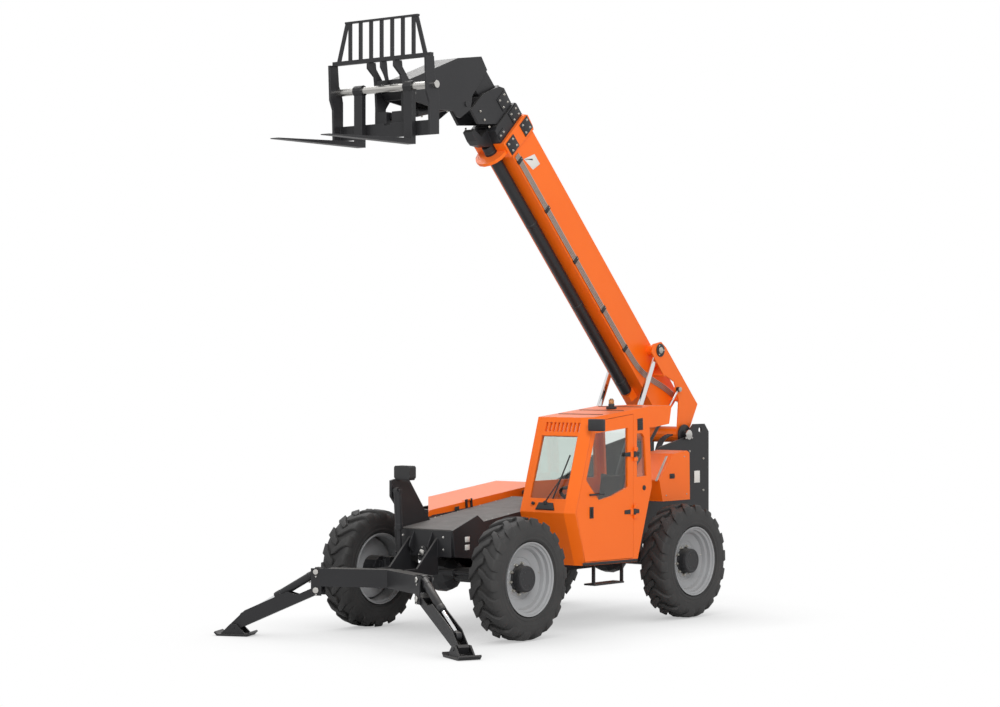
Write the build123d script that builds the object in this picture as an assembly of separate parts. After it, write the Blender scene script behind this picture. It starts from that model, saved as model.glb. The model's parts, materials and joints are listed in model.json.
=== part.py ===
from build123d import *
import math
import os

# Telehandler with a four-piece boom, an enclosed cab and two front outriggers.
# Millimetres. The machine faces -Y, its left side is +X, and the ground is Z = 0.

# ---------------------------------------------------------------- driving dimensions

# Running gear
wheelbase = 3154
track = 2219
axle_mid_y = 430             # middle of the wheelbase
tyre_radius = 683
tyre_width = 371
lug_height = 34
lugs_per_side = 18
rim_radius = 412             # outside of the rim flange
hub_radius = 136
disc_x = 10                  # outer face of the wheel's disc, from the tyre's middle
wheel_sides = 24
spindle_radius = 60
kingpin_x = 860              # kingpin axis from the centre line
kingpin_half_height = 115
axle_tube_radius = 85
running_gap = 0.3            # radial gap of a pin in its bore

# Frame
frame_half_width = 440       # outer face of the side plates
frame_plate = 25
front_plate_y = -1480
deck_front_z = 1200
deck_slope = 0.125           # rise of the deck for each millimetre to the rear
belly_z = 620
axle_pin_z = 940             # pin on which the front axle rocks
axle_pin_radius = 35
tower_rear_y = 3520
tower_top_z = 2290
tank_inner_x = frame_half_width + 20

# Boom, measured from its pivot: along it, and square to it
pivot_y = 3050
pivot_z = 2160
boom_angle = 46.7            # above the horizontal
pivot_pin_radius = 50
boom_under = -47             # underside of the outer section
section_stroke = 3200
collar_gap = 6               # between one collar and the next when the boom is in
pad_gap = 0.5
weld_gap = 0.2               # round the end of a section inside the piece welded to it

# Cylinders
lift_x = 312
lift_base = (1300, 750)      # y, z of the lower pin
lift_eye = (1100, 378)       # along and square to the boom
level_x = frame_half_width - frame_plate - 25
level_base = (1964, 1713)
level_eye = (500, 300)
extension_drop = -128        # centre of the extension cylinder, square to the boom
extension_radius = 70
extension_rod_radius = 36

# Fork carriage
head_pin = (-1900, 6060)     # y, z of the pin that carries the carriage
tilt_base = (-925, 6015)
tilt_eye = (-1960, 5800)
shaft_y = -2125
shaft_z = 6096
shaft_radius = 42
carriage_half_width = 730
fork_x = 372
fork_width = 120
fork_thick = 62
fork_tip_y = -3470
fork_floor_z = 5465

# Cab
cab_inner_x = frame_half_width
cab_outer_x = 1200
cab_wall = 40
door_gap = 6
glass = 8

# Outriggers
beam_apex_y = -1970
leg_pin = (785, -2360, 535)  # left leg's pivot
leg_sweep = 25               # the legs lie in planes turned forward by this angle
leg_length = 1070
leg_width = 150
foot_pin_z = 100             # with the foot's pad on the ground
leg_drop = math.degrees(math.asin((leg_pin[2] - foot_pin_z) / leg_length))

front_axle_y = axle_mid_y - wheelbase / 2
rear_axle_y = axle_mid_y + wheelbase / 2
axle_z = tyre_radius
wheel_x = track / 2

# ---------------------------------------------------------------- helpers


def block(x, y, z):
    """A box between each pair of limits."""
    middle = [(low + high) / 2 for low, high in (x, y, z)]
    size = [high - low for low, high in (x, y, z)]
    return Pos(*middle) * Box(*size)


def prism(plane, outline, near, far):
    """The outline, drawn in the plane, given depth from near to far along the plane's normal."""
    face = plane.offset(near) * Polygon(*outline, align=None)
    return extrude(face, amount=far - near, dir=plane.z_dir)


def side_plate(outline, x0, x1):
    """A flat piece with its outline in side view (y, z), between x0 and x1."""
    return prism(Plane.YZ, outline, x0, x1)


def bar(radius, length, sides=12):
    """A straight many-sided bar along Z, centred on the origin."""
    return extrude(Pos(0, 0, -length / 2) * RegularPolygon(radius, sides), amount=length)


def stacked(rings):
    """A solid with flat faces between rings of corners, all with as many corners."""
    faces = [Face(Wire.make_polygon(ring)) for ring in (rings[0], rings[-1])]
    for near, far in zip(rings, rings[1:]):
        for index in range(len(near)):
            before, after, beyond = near[index - 1], near[index], far[index]
            faces.append(Face(Wire.make_polygon([before, after, beyond])))
            faces.append(Face(Wire.make_polygon([before, beyond, far[index - 1]])))
    return Part() + Solid(Shell(faces))


def turned_body(stations, sides=12):
    """A many-sided solid about the X axis through the stations, each = x, radius."""
    rings = []
    for x, radius in stations:
        angles = [2 * math.pi * index / sides for index in range(sides)]
        rings.append([Vector(x, radius * math.cos(angle), radius * math.sin(angle)) for angle in angles])
    return stacked(rings)


def cross_pin(place, radius, x0, x1, sides=0):
    """A bar along X through the side-view point (y, z), round where no sides are given."""
    shape = RegularPolygon(radius, sides) if sides else Circle(radius)
    return extrude(Plane.YZ.offset(x0) * Pos(*place) * shape, amount=x1 - x0)


def grown(outline, distance):
    """The outline moved outward by the distance, with its corners kept sharp."""
    face = offset(Polygon(*outline, align=None), distance, kind=Kind.INTERSECTION).face()
    corners = [edge @ 0 for edge in face.outer_wire().order_edges()]
    return [(corner.X, corner.Y) for corner in corners]


def mirrored(solid):
    """The same piece on the other side of the centre line."""
    return mirror(solid, about=Plane.YZ)


def both_sides(solid):
    return solid + mirrored(solid)


boom_direction = math.radians(boom_angle)
boom_plane = Plane(
    origin=(0, pivot_y, pivot_z),
    x_dir=(0, -math.cos(boom_direction), math.sin(boom_direction)),
    z_dir=(-1, 0, 0),
)


def boom_plate(outline, x0, x1):
    """A flat piece with its outline along and square to the boom, between x0 and x1."""
    return prism(boom_plane, outline, -x1, -x0)


def boom_pin(place, radius, x0, x1, sides=0):
    """A bar along X at the point given along and square to the boom."""
    shape = RegularPolygon(radius, sides) if sides else Circle(radius)
    return extrude(boom_plane.offset(-x1) * Pos(*place) * shape, amount=x1 - x0)


def boom_box(half_width, low, high, start, end):
    """A square-edged box that lies along the boom."""
    outline = [(start, low), (end, low), (end, high), (start, high)]
    return boom_plate(outline, -half_width, half_width)


def boom_tube(outer_radius, inner_radius, start, end):
    """A round tube under the boom, along the extension cylinder's axis."""
    seat = boom_plane.from_local_coords((0, extension_drop, 0))
    axis = Plane(origin=seat, x_dir=(1, 0, 0), z_dir=boom_plane.x_dir)
    tube = bar(outer_radius, end - start, 16)
    if inner_radius:
        tube -= bar(inner_radius, end - start, 16)
    return axis * Pos(0, 0, (start + end) / 2) * tube


def boom_point(place):
    """Side-view (y, z) of a point given along and square to the boom."""
    along, square = place
    cosine = math.cos(boom_direction)
    sine = math.sin(boom_direction)
    return pivot_y - along * cosine + square * sine, pivot_z + along * sine + square * cosine


def hydraulic(base, eye, pin_axis, barrel_radius, barrel_length, rod_radius, rod_length, sizes):
    """Barrel and rod between two pins; sizes = base eye radius, rod eye radius, width, base bore."""
    base_radius, eye_radius, eye_width, base_bore = sizes
    along = Vector(*eye) - Vector(*base)
    reach = along.length
    frame = Plane(origin=base, x_dir=pin_axis, z_dir=along)
    across = Rot(0, 90, 0)
    bore = rod_radius + running_gap
    barrel = Pos(0, 0, barrel_length / 2) * (bar(barrel_radius, barrel_length) - bar(bore, barrel_length))
    barrel += Pos(0, 0, base_radius * 0.5) * bar(barrel_radius, base_radius)
    barrel += Pos(0, 0, barrel_length - 30) * (bar(barrel_radius + 2, 60) - bar(bore, 60))
    barrel += across * bar(base_radius, eye_width)
    barrel -= across * Cylinder(base_bore, max(eye_width, 2 * barrel_radius) + 20)
    rod = Pos(0, 0, reach - rod_length / 2) * bar(rod_radius, rod_length)
    rod += Pos(0, 0, reach) * across * bar(eye_radius, eye_width)
    return frame * barrel, frame * rod


parts = {}

# ---------------------------------------------------------------- wheels


def tyre():
    """Tyre about the X axis, centred on x = 0, with chevron lugs."""
    carcass = tyre_radius - lug_height
    half = tyre_width / 2
    bead = [(150, rim_radius + 3), (half, 520), (half - 8, 622), (half - 34, carcass)]
    stations = [(-x, radius) for x, radius in bead] + bead[::-1]
    ring = turned_body(stations, lugs_per_side)
    ring -= Rot(0, 90, 0) * bar(rim_radius - 15, tyre_width + 20, wheel_sides)
    lugs = []
    pitch = 360 / lugs_per_side
    for side in (-1, 1):
        for index in range(lugs_per_side):
            inner = index * pitch + (pitch / 2 if side > 0 else 0)
            stations = [
                (side * -8, inner, carcass - 12, 40),
                (side * (half - 8), inner + 13, carcass - 28, 74),
            ]
            lugs.append(tread_lug(stations))
    return ring.fuse(*lugs)


def tread_lug(stations):
    """A bar between two radial rectangles; each station = x, angle, inner radius, half width."""
    ends = []
    for x, angle, low, half in stations:
        crown = math.sqrt((tyre_radius - 0.6) ** 2 - half ** 2)
        turn = math.radians(angle)
        corners = [(-half, low), (half, low), (half, crown), (-half, crown)]
        ends.append([Vector(x, y * math.cos(turn) - z * math.sin(turn), y * math.sin(turn) + z * math.cos(turn))
                     for y, z in corners])
    return stacked(ends)


def rim():
    """Stepped disc rim with its hub, about the X axis; the outside of the wheel is +X."""
    seat = rim_radius - 16
    band = turned_body([(-176, rim_radius), (-162, rim_radius), (-150, seat), (150, seat),
                        (162, rim_radius), (176, rim_radius)], wheel_sides)
    dish = turned_body([(180, 398), (152, 390), (142, 372), (98, 366), (88, 340), (40, 328),
                        (disc_x + 12, 240), (disc_x, 225)], wheel_sides)
    back = turned_body([(-180, 398), (-152, 390), (-142, 378), (72, 378), (62, 350), (disc_x + 6, 345),
                        (disc_x - 14, 245), (disc_x - 24, 225)], wheel_sides)
    wheel = band - dish - back
    wheel += turned_body([(disc_x, hub_radius + 24), (disc_x + 14, hub_radius), (128, hub_radius),
                          (136, hub_radius - 8)], 16)
    depth = 112 - (disc_x - 24)
    bore = Pos(disc_x - 24 + depth / 2, 0, 0) * Rot(0, 90, 0)
    return wheel - bore * Cylinder(spindle_radius + running_gap, depth + 2)


def knuckle(rear):
    """Left steering knuckle with its spindle; its arm points to the middle of the machine."""
    post = Pos(kingpin_x, 0, 0) * Cylinder(52, 2 * kingpin_half_height - 1)
    drum_start = kingpin_x + 58
    drum_end = wheel_x + disc_x - 24 - 5
    drum = Pos((drum_start + drum_end) / 2, 0, 0) * Rot(0, 90, 0) * bar(150, drum_end - drum_start, 16)
    neck = block((kingpin_x + 10, drum_start + 4), (-52, 52), (-95, 95))
    tip_x = wheel_x + 105
    shaft = Pos((drum_end + tip_x) / 2, 0, 0) * Rot(0, 90, 0) * Cylinder(spindle_radius, tip_x - drum_end)
    arm_y = 190 if not rear else -190
    arm = block((kingpin_x + 5, kingpin_x + 55), sorted((arm_y, 0)), (-70, -42))
    arm += Pos(kingpin_x + 30, arm_y, -56) * bar(34, 28)
    return post + drum + neck + shaft + arm


def axle(rear):
    """Axle housing with its differential, kingpin yokes and steering cylinder."""
    across = Rot(0, 90, 0)
    beam_end = kingpin_x - 62
    housing = across * bar(axle_tube_radius, 2 * beam_end)
    housing += turned_body([(-230, 95), (-150, 175), (-60, 205), (60, 205), (150, 175), (230, 95)])
    inward = -1 if rear else 1
    housing += Pos(0, inward * 250, 0) * Rot(90, 0, 0) * bar(75, 200)
    for side in (-1, 1):
        housing += block(sorted((side * (beam_end - 60), side * beam_end)), (-70, 70), (-145, 145))
        for up in (-1, 1):
            housing += Pos(side * kingpin_x, 0, up * (kingpin_half_height + 15)) * bar(48, 30)
            housing += block(sorted((side * (beam_end - 30), side * kingpin_x)), (-46, 46),
                             sorted((up * kingpin_half_height, up * (kingpin_half_height + 30))))
    ram = Pos(0, inward * -150, 30) * across
    housing += ram * bar(42, 620) + ram * bar(18, 1080)
    for side in (-1, 1):
        housing += block(sorted((side * 240, side * 290)), sorted((0, inward * -150)), (-20, 60))
    return housing


wheel_tyre = tyre()
wheel_rim = rim()
corners = [
    # name, side (+1 left), axle position, rear axle
    ("front_left", 1, front_axle_y, False),
    ("front_right", -1, front_axle_y, False),
    ("rear_left", 1, rear_axle_y, True),
    ("rear_right", -1, rear_axle_y, True),
]
for name, side, axle_y, rear in corners:
    for kind, solid in (("tyre", wheel_tyre), ("rim", wheel_rim)):
        placed = Pos(wheel_x, axle_y, axle_z) * solid
        parts[name + "_" + kind] = placed if side > 0 else mirrored(placed)
    placed = Pos(0, axle_y, axle_z) * knuckle(rear)
    parts[name + "_knuckle"] = placed if side > 0 else mirrored(placed)

saddle_top = 850
front_axle = Pos(0, front_axle_y, axle_z) * axle(False)
rocker = [(front_axle_y - 110, axle_z + 60), (front_axle_y + 110, axle_z + 60),
          (front_axle_y + 80, axle_pin_z + 55), (front_axle_y - 80, axle_pin_z + 55)]
front_axle += side_plate(rocker, -60, 60)
front_pin = Pos(0, front_axle_y, axle_pin_z) * Rot(90, 0, 0)
front_axle += front_pin * bar(axle_pin_radius, 700)
sway_foot = (front_plate_y - 60, 895)
sway_arm = [(front_axle_y + 60, 650), (front_axle_y - 60, 640), (sway_foot[0] + 10, 770), (sway_foot[0] - 45, 850),
            (sway_foot[0] - 40, 935), (sway_foot[0] + 40, 935), (sway_foot[0] + 55, 860), (front_axle_y - 30, 760)]
for x0 in (-345, -260):
    front_axle += side_plate(sway_arm, x0, x0 + 25)
parts["front_axle"] = front_axle

rear_axle = Pos(0, rear_axle_y, axle_z) * axle(True)
for side in (-1, 1):
    rear_axle += block(sorted((side * 330, side * frame_half_width)),
                       (rear_axle_y - 90, rear_axle_y + 90), (axle_z + 40, saddle_top))
parts["rear_axle"] = rear_axle

# ---------------------------------------------------------------- frame

inner_face = frame_half_width - frame_plate


def deck_z(y):
    """Height of the deck's top at the station y."""
    return deck_front_z + deck_slope * (y - front_plate_y)


side_outline = [
    # y, z round the side plate, from the foot of the front plate
    (front_plate_y + 40, 900), (front_axle_y + 200, saddle_top), (front_axle_y + 420, belly_z),
    (rear_axle_y - 520, belly_z), (rear_axle_y - 250, saddle_top), (rear_axle_y + 300, saddle_top),
    (tower_rear_y, 920), (tower_rear_y, 2190), (tower_rear_y - 90, tower_top_z),
    (tower_rear_y - 330, tower_top_z), (3020, 2130), (2460, 2020), (2290, 1930), (1700, 1690),
    (900, 1440), (-340, deck_z(-340) + 8), (-940, deck_z(-940) + 8), (-1050, 1350),
    (front_plate_y, deck_front_z),
]
side = side_plate(side_outline, inner_face, frame_half_width)
side -= cross_pin((tower_rear_y - 190, tower_top_z - 75), 34, 0, 500)
frame = both_sides(side)
cross_plates = [
    # y0, y1, z0, z1 of the plates between the side plates
    (front_plate_y, front_plate_y + 25, 900, deck_front_z - 8),
    (front_axle_y + 150, front_axle_y + 175, saddle_top, deck_z(front_axle_y + 150) - 12),
    (front_axle_y + 430, rear_axle_y - 530, belly_z, belly_z + 20),
    (rear_axle_y + 330, rear_axle_y + 355, saddle_top + 10, 1250),
    (tower_rear_y - 25, tower_rear_y, 920, 1560),
    (rear_axle_y - 250, rear_axle_y + 355, saddle_top + 55, saddle_top + 80),
]
for y0, y1, z0, z1 in cross_plates:
    frame += block((-inner_face, inner_face), (y0, y1), (z0, z1))
frame -= front_pin * bar(axle_pin_radius + running_gap, 900)
frame += cross_pin((pivot_y, pivot_z), pivot_pin_radius, -frame_half_width - 15, frame_half_width + 15)
for side_sign in (-1, 1):
    low, high = sorted((side_sign * (lift_x - 78), side_sign * inner_face))
    frame += cross_pin(lift_base, 32, low, high)
    low, high = sorted((side_sign * (lift_x - 78), side_sign * (lift_x - 60)))
    lug = [(lift_base[0] - 90, belly_z + 10), (lift_base[0] + 90, belly_z + 10),
           (lift_base[0] + 50, lift_base[1] + 60), (lift_base[0] - 50, lift_base[1] + 60)]
    frame += side_plate(lug, low, high)
frame += cross_pin(level_base, 18, level_x - 20, frame_half_width)
frame += side_plate([(2050, 1500), (2210, 1500), (2210, 1860), (2050, 1800)], frame_half_width, tank_inner_x)

# Boom rest tower: a plate by the right side, a shelf for the rest pad, and the upper pin of
# the cylinder that levels the frame
rest_x = -375
sway_x = -290
rest_pad = (-1497, 1830)
rest_pad_size = (235, 110, 150)
sway_head = (-1590, 1620)
tower = [(front_plate_y - 12, 1060), (front_plate_y - 12, 1400), (sway_head[0] - 40, sway_head[1] - 60),
         (sway_head[0] - 40, 1740), (-1560, 1755), (-1350, 1755), (-1310, 1720),
         (-960, deck_z(-960) - 8), (-960, 1060)]
frame += side_plate(tower, rest_x, rest_x + 30)
frame += block((rest_x, rest_x + 220), (rest_pad[0] - 50, rest_pad[0] + 50), (1743, 1755))
frame += cross_pin(sway_head, 24, rest_x, sway_x + 52)

parts["main_frame"] = frame

deck = None
deck_panels = [(front_plate_y + 26, -780), (-776, -80), (-76, 620)]
for y0, y1 in deck_panels:
    outline = [(y0, deck_z(y0) - 8), (y1, deck_z(y1) - 8), (y1, deck_z(y1)), (y0, deck_z(y0))]
    panel = side_plate(outline, -inner_face, inner_face)
    panel -= block((rest_x - 1, rest_x + 31), (front_plate_y - 60, -950), (1000, 1500))
    deck = panel if deck is None else deck + panel
parts["deck_panels"] = deck

pad = Pos(rest_x + rest_pad_size[0] / 2, *rest_pad) * Box(*rest_pad_size)
parts["boom_rest_pad"] = fillet(pad.edges().filter_by(Axis.Y), 28)

sway_barrel, sway_rod = hydraulic(
    (sway_x, *sway_head), (sway_x, *sway_foot), (1, 0, 0),
    46, 430, 24, 400, (46, 40, 50, 24 + running_gap))
parts["sway_cylinder"] = sway_barrel + sway_rod

# ---------------------------------------------------------------- boom

sections = [
    # name, half width, low, high, wall, tail, tip
    ("boom_outer", 200, boom_under, 445, 10, 250, 4825),
    ("boom_section_2", 168, -12, 410, 9, 340, 5016),
    ("boom_section_3", 138, 18, 378, 9, 400, 5310),
    ("boom_fly", 108, 48, 346, 9, 460, 5640),
]
collars = [
    # half width, and the outline of the end collar's side, along and square to the boom
    (228, [(4620, -100), (4825, -100), (4825, 432), (4785, 474), (4640, 462), (4590, 445)]),
    (192, [(4831, -100), (4850, -106), (5000, -80), (5016, -30), (5016, 417), (4990, 438), (4831, 434)]),
    (168, [(5022, 18), (5022, 388), (5242, 407), (5312, 350), (5430, 60), (5430, -220), (5224, -231)]),
]
bodies = {}
collars_made = []
for index, (name, half, low, high, wall, tail, tip) in enumerate(sections):
    section = boom_box(half, low, high, tail, tip)
    section -= boom_box(half - wall, low + wall, high - wall, tail - 5, tip + 5)
    if index > 0:
        # tail pads reach the wall of the section outside
        _, out_half, out_low, out_high, out_wall, _, _ = sections[index - 1]
        reach = out_wall + pad_gap
        pads = boom_box(out_half - reach, out_low + reach, out_high - reach, tail, tail + 160)
        section += pads - boom_box(half - 2, low + 2, high - 2, tail - 5, tail + 165)
    if index < 3:
        # the collar holds the pads on which the next section slides
        _, next_half, next_low, next_high, _, _, _ = sections[index + 1]
        collar_half, outline = collars[index]
        collar = boom_plate(outline, -collar_half, collar_half)
        far = max(along for along, _ in outline) + 5
        seam = weld_gap if index > 0 else -2
        collar -= boom_box(half + seam, low - seam, high + seam, outline[0][0] - 40, far)
        collars_made.append(collar)
        inner = boom_box(half - 1, low + 1, high - 1, tip - 120, tip)
        inner -= boom_box(next_half + pad_gap, next_low - pad_gap, next_high + pad_gap, tip - 130, tip + 5)
        section += inner
    bodies[name] = section

outer = bodies["boom_outer"] + collars_made[0]
# the pivot flares out to a plate on each side, which carries the lift cylinders' upper pins
wing = [(48, 500), (1037, 494), (1161, 466), (1251, 330), (1200, 232), (928, 225), (834, 225), (600, 330),
        (360, 236), (110, -50), (40, -98), (-60, -90), (-100, 0), (-70, 110)]
wing_plate = (348, 364)
for side_sign in (-1, 1):
    low, high = sorted(side_sign * x for x in wing_plate)
    outer += boom_plate(wing, low, high)
    low, high = sorted((side_sign * 195, side_sign * wing_plate[1]))
    outer += boom_plate([(800, 445), (800, 215), (825, 215), (825, 445)], low, high)
    outer += boom_plate([(330, 260), (345, 260), (345, 430), (330, 430)], low, high)
    low, high = sorted((side_sign * 195, side_sign * (lift_x - 36)))
    outer += boom_pin(lift_eye, 70, low, high, 12)
outer += boom_pin(level_eye, 38, wing_plate[0], level_x - 20, 12)
outer += boom_pin((0, 0), 100, -400, 400, 16)
outer -= boom_box(150, -40, 430, 130, 300)
outer -= boom_pin((0, 0), pivot_pin_radius + running_gap, -450, 450)
foot = [(700, boom_under), (860, boom_under), (820, extension_drop - 45), (740, extension_drop - 45)]
outer += boom_plate(foot, -40, 40)
# guide ring round the extension cylinder
ring_seat = boom_plane.from_local_coords((4700, extension_drop, 0))
ring_place = Plane(origin=ring_seat, x_dir=(1, 0, 0), z_dir=boom_plane.x_dir)
guide = bar(205, 40, 16) + Pos(0, 40, 0) * Box(300, 120, 40)
outer += (ring_place * guide) & boom_box(400, -400, boom_under + 2, 4600, 4800)
outer -= boom_tube(extension_radius + 6, 0, 4560, 4830)
parts["boom_outer"] = outer

bracket = [(4831, -60), (5010, -60), (5010, -200), (5165, -245), (5165, -295), (5044, -310), (4976, -300),
           (4876, -215), (4831, -150)]
parts["boom_section_2"] = bodies["boom_section_2"]
parts["boom_collar_2"] = collars_made[1] + boom_plate(bracket, -70, 70)
parts["boom_section_3"] = bodies["boom_section_3"]
parts["boom_collar_3"] = collars_made[2] - boom_box(130, -400, 10, 5060, 5440)

parts["extension_barrel"] = boom_tube(extension_radius, extension_rod_radius + running_gap, 875, 4831)
parts["extension_rod"] = boom_tube(extension_rod_radius, 0, 861, 4650)

# Gooseneck, welded to the end of the fly section
neck_outline = [
    (-556, 6435), (-660, 6581), (-1077, 6523), (head_pin[0] - 46, head_pin[1] + 133),
    (head_pin[0] - 80, head_pin[1]), (head_pin[0] - 30, head_pin[1] - 72), (-1405, 5919), (-1146, 5917),
    (-1094, 5864), (-1031, 5847), (-856, 5957), (-838, 6022), (-822, 6114), (-622, 6360),
]
neck = side_plate(neck_outline, -170, 170)
channel = [(-860, 5700), (-860, 6090), (-900, 6130), (-900, 6526), (-1073, 6500),
           (head_pin[0] - 28, head_pin[1] + 115), (head_pin[0] - 62, head_pin[1]),
           (head_pin[0] - 5, head_pin[1] - 100), (head_pin[0] - 5, 5700)]
neck -= side_plate(channel, -150, 150)
neck -= cross_pin(head_pin, 40 + running_gap, -200, 200)
neck += cross_pin(tilt_base, 30, -185, 185)
_, fly_half, fly_low, fly_high, _, _, fly_tip = sections[3]
neck -= boom_box(fly_half + weld_gap, fly_low - weld_gap, fly_high + weld_gap, 5400, fly_tip + weld_gap)
parts["boom_fly"] = bodies["boom_fly"]
parts["boom_gooseneck"] = neck

# ---------------------------------------------------------------- cylinders on the boom

lift_top = boom_point(lift_eye)
level_top = boom_point(level_eye)
lift_sizes = (62, 58, 60, 32 + running_gap)
barrel, rod = hydraulic((lift_x, *lift_base), (lift_x, *lift_top), (1, 0, 0), 50, 1600, 36, 1700, lift_sizes)
parts["lift_barrel_left"] = barrel
parts["lift_rod_left"] = rod
parts["lift_barrel_right"] = mirrored(barrel)
parts["lift_rod_right"] = mirrored(rod)
barrel, rod = hydraulic((level_x, *level_base), (level_x, *level_top), (1, 0, 0), 20, 860, 12, 880,
                        (32, 32, 36, 18 + running_gap))
parts["level_barrel"] = barrel
parts["level_rod"] = rod
barrel, rod = hydraulic((0, *tilt_base), (0, *tilt_eye), (1, 0, 0), 48, 700, 26, 640,
                        (52, 44, 70, 30 + running_gap))
parts["tilt_barrel"] = barrel
parts["tilt_rod"] = rod

# ---------------------------------------------------------------- fork carriage

cheek = [(-2260, 6395), (-2130, 6400), (-2110, 6170), (-2070, 6100), (-2045, 5990), (-2045, 5570),
         (-2190, 5550), (-2200, 5900), (-2245, 6010)]
carriage = both_sides(side_plate(cheek, carriage_half_width - 30, carriage_half_width))
carriage += block((-carriage_half_width, carriage_half_width), (-2085, -2045), (5560, 5720))
carriage += block((-carriage_half_width, carriage_half_width), (-2190, -2140), (6395, 6440))
hanger = [(-2190, 6400), (-2070, 6400), (-2060, 6330), (-1950, 6200), (-1820, 6120), (-1820, 6000),
          (-1900, 5900), (-1920, 5740), (-2030, 5600), (-2050, 5600), (-2050, 5900), (-2065, 6130),
          (-2080, 6240), (-2190, 6330)]
carriage += both_sides(side_plate(hanger, 180, 210))
web = [(-2190, 6400), (-2100, 6400), (-2080, 6250), (-2060, 6180), (-2085, 6150), (-2130, 6250),
       (-2190, 6330)]
carriage += side_plate(web, -12, 12)
carriage += block((-211, 211), (-2064, -2044), (6120, 6200))
carriage += cross_pin(head_pin, 40, -215, 215)
lug = [(-2050, 5600), (-2050, 5850), (-1920, 5850), (-1910, 5750)]
carriage += both_sides(side_plate(lug, 42, 66))
carriage += both_sides(block((42, 211), (-2050, -2030), (5600, 5850)))
shaft_end = carriage_half_width + 40
carriage -= both_sides(cross_pin((shaft_y, shaft_z), shaft_radius + running_gap, carriage_half_width - 80,
                                 shaft_end + 30, 12))
# clearance over the lower bar for the tilt cylinder's eye
carriage -= block((-45, 45), (-2100, -2040), (5695, 5730))
bars = 7
bar_pitch = 157
for index in range(bars):
    x = (index - (bars - 1) / 2) * bar_pitch
    carriage += block((x - 25, x + 25), (-2180, -2165), (6440, 6850))
carriage += block((-540, 540), (-2190, -2150), (6850, 6872))
slant = [(carriage_half_width - 60, 6430), (carriage_half_width - 115, 6430), (490, 6855), (540, 6855)]
carriage += both_sides(prism(Plane.XZ, slant, 2165, 2180))
parts["fork_carriage"] = carriage

parts["fork_shaft"] = cross_pin((shaft_y, shaft_z), shaft_radius, -shaft_end, shaft_end, 12)

shank_front = shaft_y - 30
shank_back = shank_front + fork_thick
fork = side_plate([(shank_back, shaft_z), (shank_back, fork_floor_z), (shank_front, fork_floor_z),
                   (shank_front, shaft_z)], fork_x - fork_width / 2, fork_x + fork_width / 2)
fork += side_plate([(shank_back, fork_floor_z), (fork_tip_y, fork_floor_z + 8), (fork_tip_y, fork_floor_z + 18),
                    (shank_front, fork_floor_z + fork_thick)], fork_x - fork_width / 2, fork_x + fork_width / 2)
fork += cross_pin((shaft_y, shaft_z), 62, fork_x - fork_width / 2, fork_x + fork_width / 2, 12)
fork -= cross_pin((shaft_y, shaft_z), shaft_radius + running_gap, fork_x - 100, fork_x + 100, 12)
parts["fork_left"] = fork
parts["fork_right"] = mirrored(fork)

# ---------------------------------------------------------------- cab

cab_outline = [
    # y, z round the cab's side
    (50, 2440), (1180, 2550), (1240, 1610), (950, 740), (-90, 755), (-290, 1360),
]
corner_cut = (125, 55)        # of the slanted front left corner, across the front and along the side


def corner_wedge(lower, upper, inset):
    """What is cut off the front left corner between two of the outline's points."""
    edge = Vector(0, upper[0] - lower[0], upper[1] - lower[1])
    plane = Plane(origin=(cab_outer_x, *lower), x_dir=(-1, 0, 0), z_dir=edge)
    across, deep = corner_cut
    reach = math.hypot(across, deep)
    outline = [(across, 0), (across, 60), (-60, 60), (-60, -deep), (0, -deep)]
    moved = [(u + inset * deep / reach, v - inset * across / reach) for u, v in outline]
    return prism(plane, moved, -150, edge.length + 150)


cab = side_plate(cab_outline, cab_inner_x, cab_outer_x)
cavity = side_plate(grown(cab_outline, -cab_wall), cab_inner_x + cab_wall, cab_outer_x - cab_wall)
for lower, upper in ((cab_outline[5], cab_outline[0]), (cab_outline[4], cab_outline[5])):
    cab -= corner_wedge(lower, upper, 0)
    cavity -= corner_wedge(lower, upper, cab_wall)
cab -= cavity
door_outline = [(115, 2390), (870, 2465), (870, 790), (-45, 800), (-215, 1370)]
cab -= side_plate(grown(door_outline, door_gap), cab_outer_x - cab_wall - 5, cab_outer_x + 5)
door_window = [(145, 2260), (770, 2310), (770, 1620), (470, 1530), (210, 1490), (-30, 1730)]
quarter_window = [(945, 2240), (1050, 2240), (1098, 2190), (1140, 1740), (945, 1730)]
inner_window = [(150, 2330), (1080, 2420), (1110, 1700), (-60, 1700)]
cab -= side_plate(quarter_window, cab_outer_x - cab_wall - 5, cab_outer_x + 5)
cab -= side_plate(inner_window, cab_inner_x - 5, cab_inner_x + cab_wall + 5)

slope = math.atan2(2440 - 1360, 50 + 290)
screen_plane = Plane(origin=(0, -290, 1360), x_dir=(1, 0, 0), z_dir=(0, -math.sin(slope), math.cos(slope)))
screen_x = (540, 1065)
screen_v = (165, 910)
screen = [(screen_x[0], screen_v[0]), (screen_x[1], screen_v[0]),
          (screen_x[1], screen_v[1]), (screen_x[0], screen_v[1])]
cab -= prism(screen_plane, screen, -100, 100)
slots = 9
slot_pitch = 58
for index in range(slots):
    x = 588 + index * slot_pitch
    slot = [(x - 17, 960), (x + 17, 960), (x + 17, 1070), (x - 17, 1070)]
    cab -= prism(screen_plane, slot, -70, 70)
rear_window = [(540, 1700), (1100, 1700), (1100, 2380), (540, 2380)]
cab -= prism(Plane.XZ, rear_window, -1300, -1100)
cab += side_plate([(1180, 2550), (1755, 2556), (1705, 2336), (1365, 2298), (1195, 2310)], 520, 1120)
parts["cab_shell"] = cab

glass_panes = prism(screen_plane, screen, -24, glass - 24)
glass_panes += side_plate(quarter_window, cab_outer_x - 24, cab_outer_x - 24 + glass)
glass_panes += side_plate(inner_window, cab_inner_x + 16, cab_inner_x + 16 + glass)
parts["cab_glass"] = glass_panes

door = side_plate(door_outline, cab_outer_x - cab_wall, cab_outer_x)
door -= side_plate(door_window, cab_outer_x - 60, cab_outer_x + 10)
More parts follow.
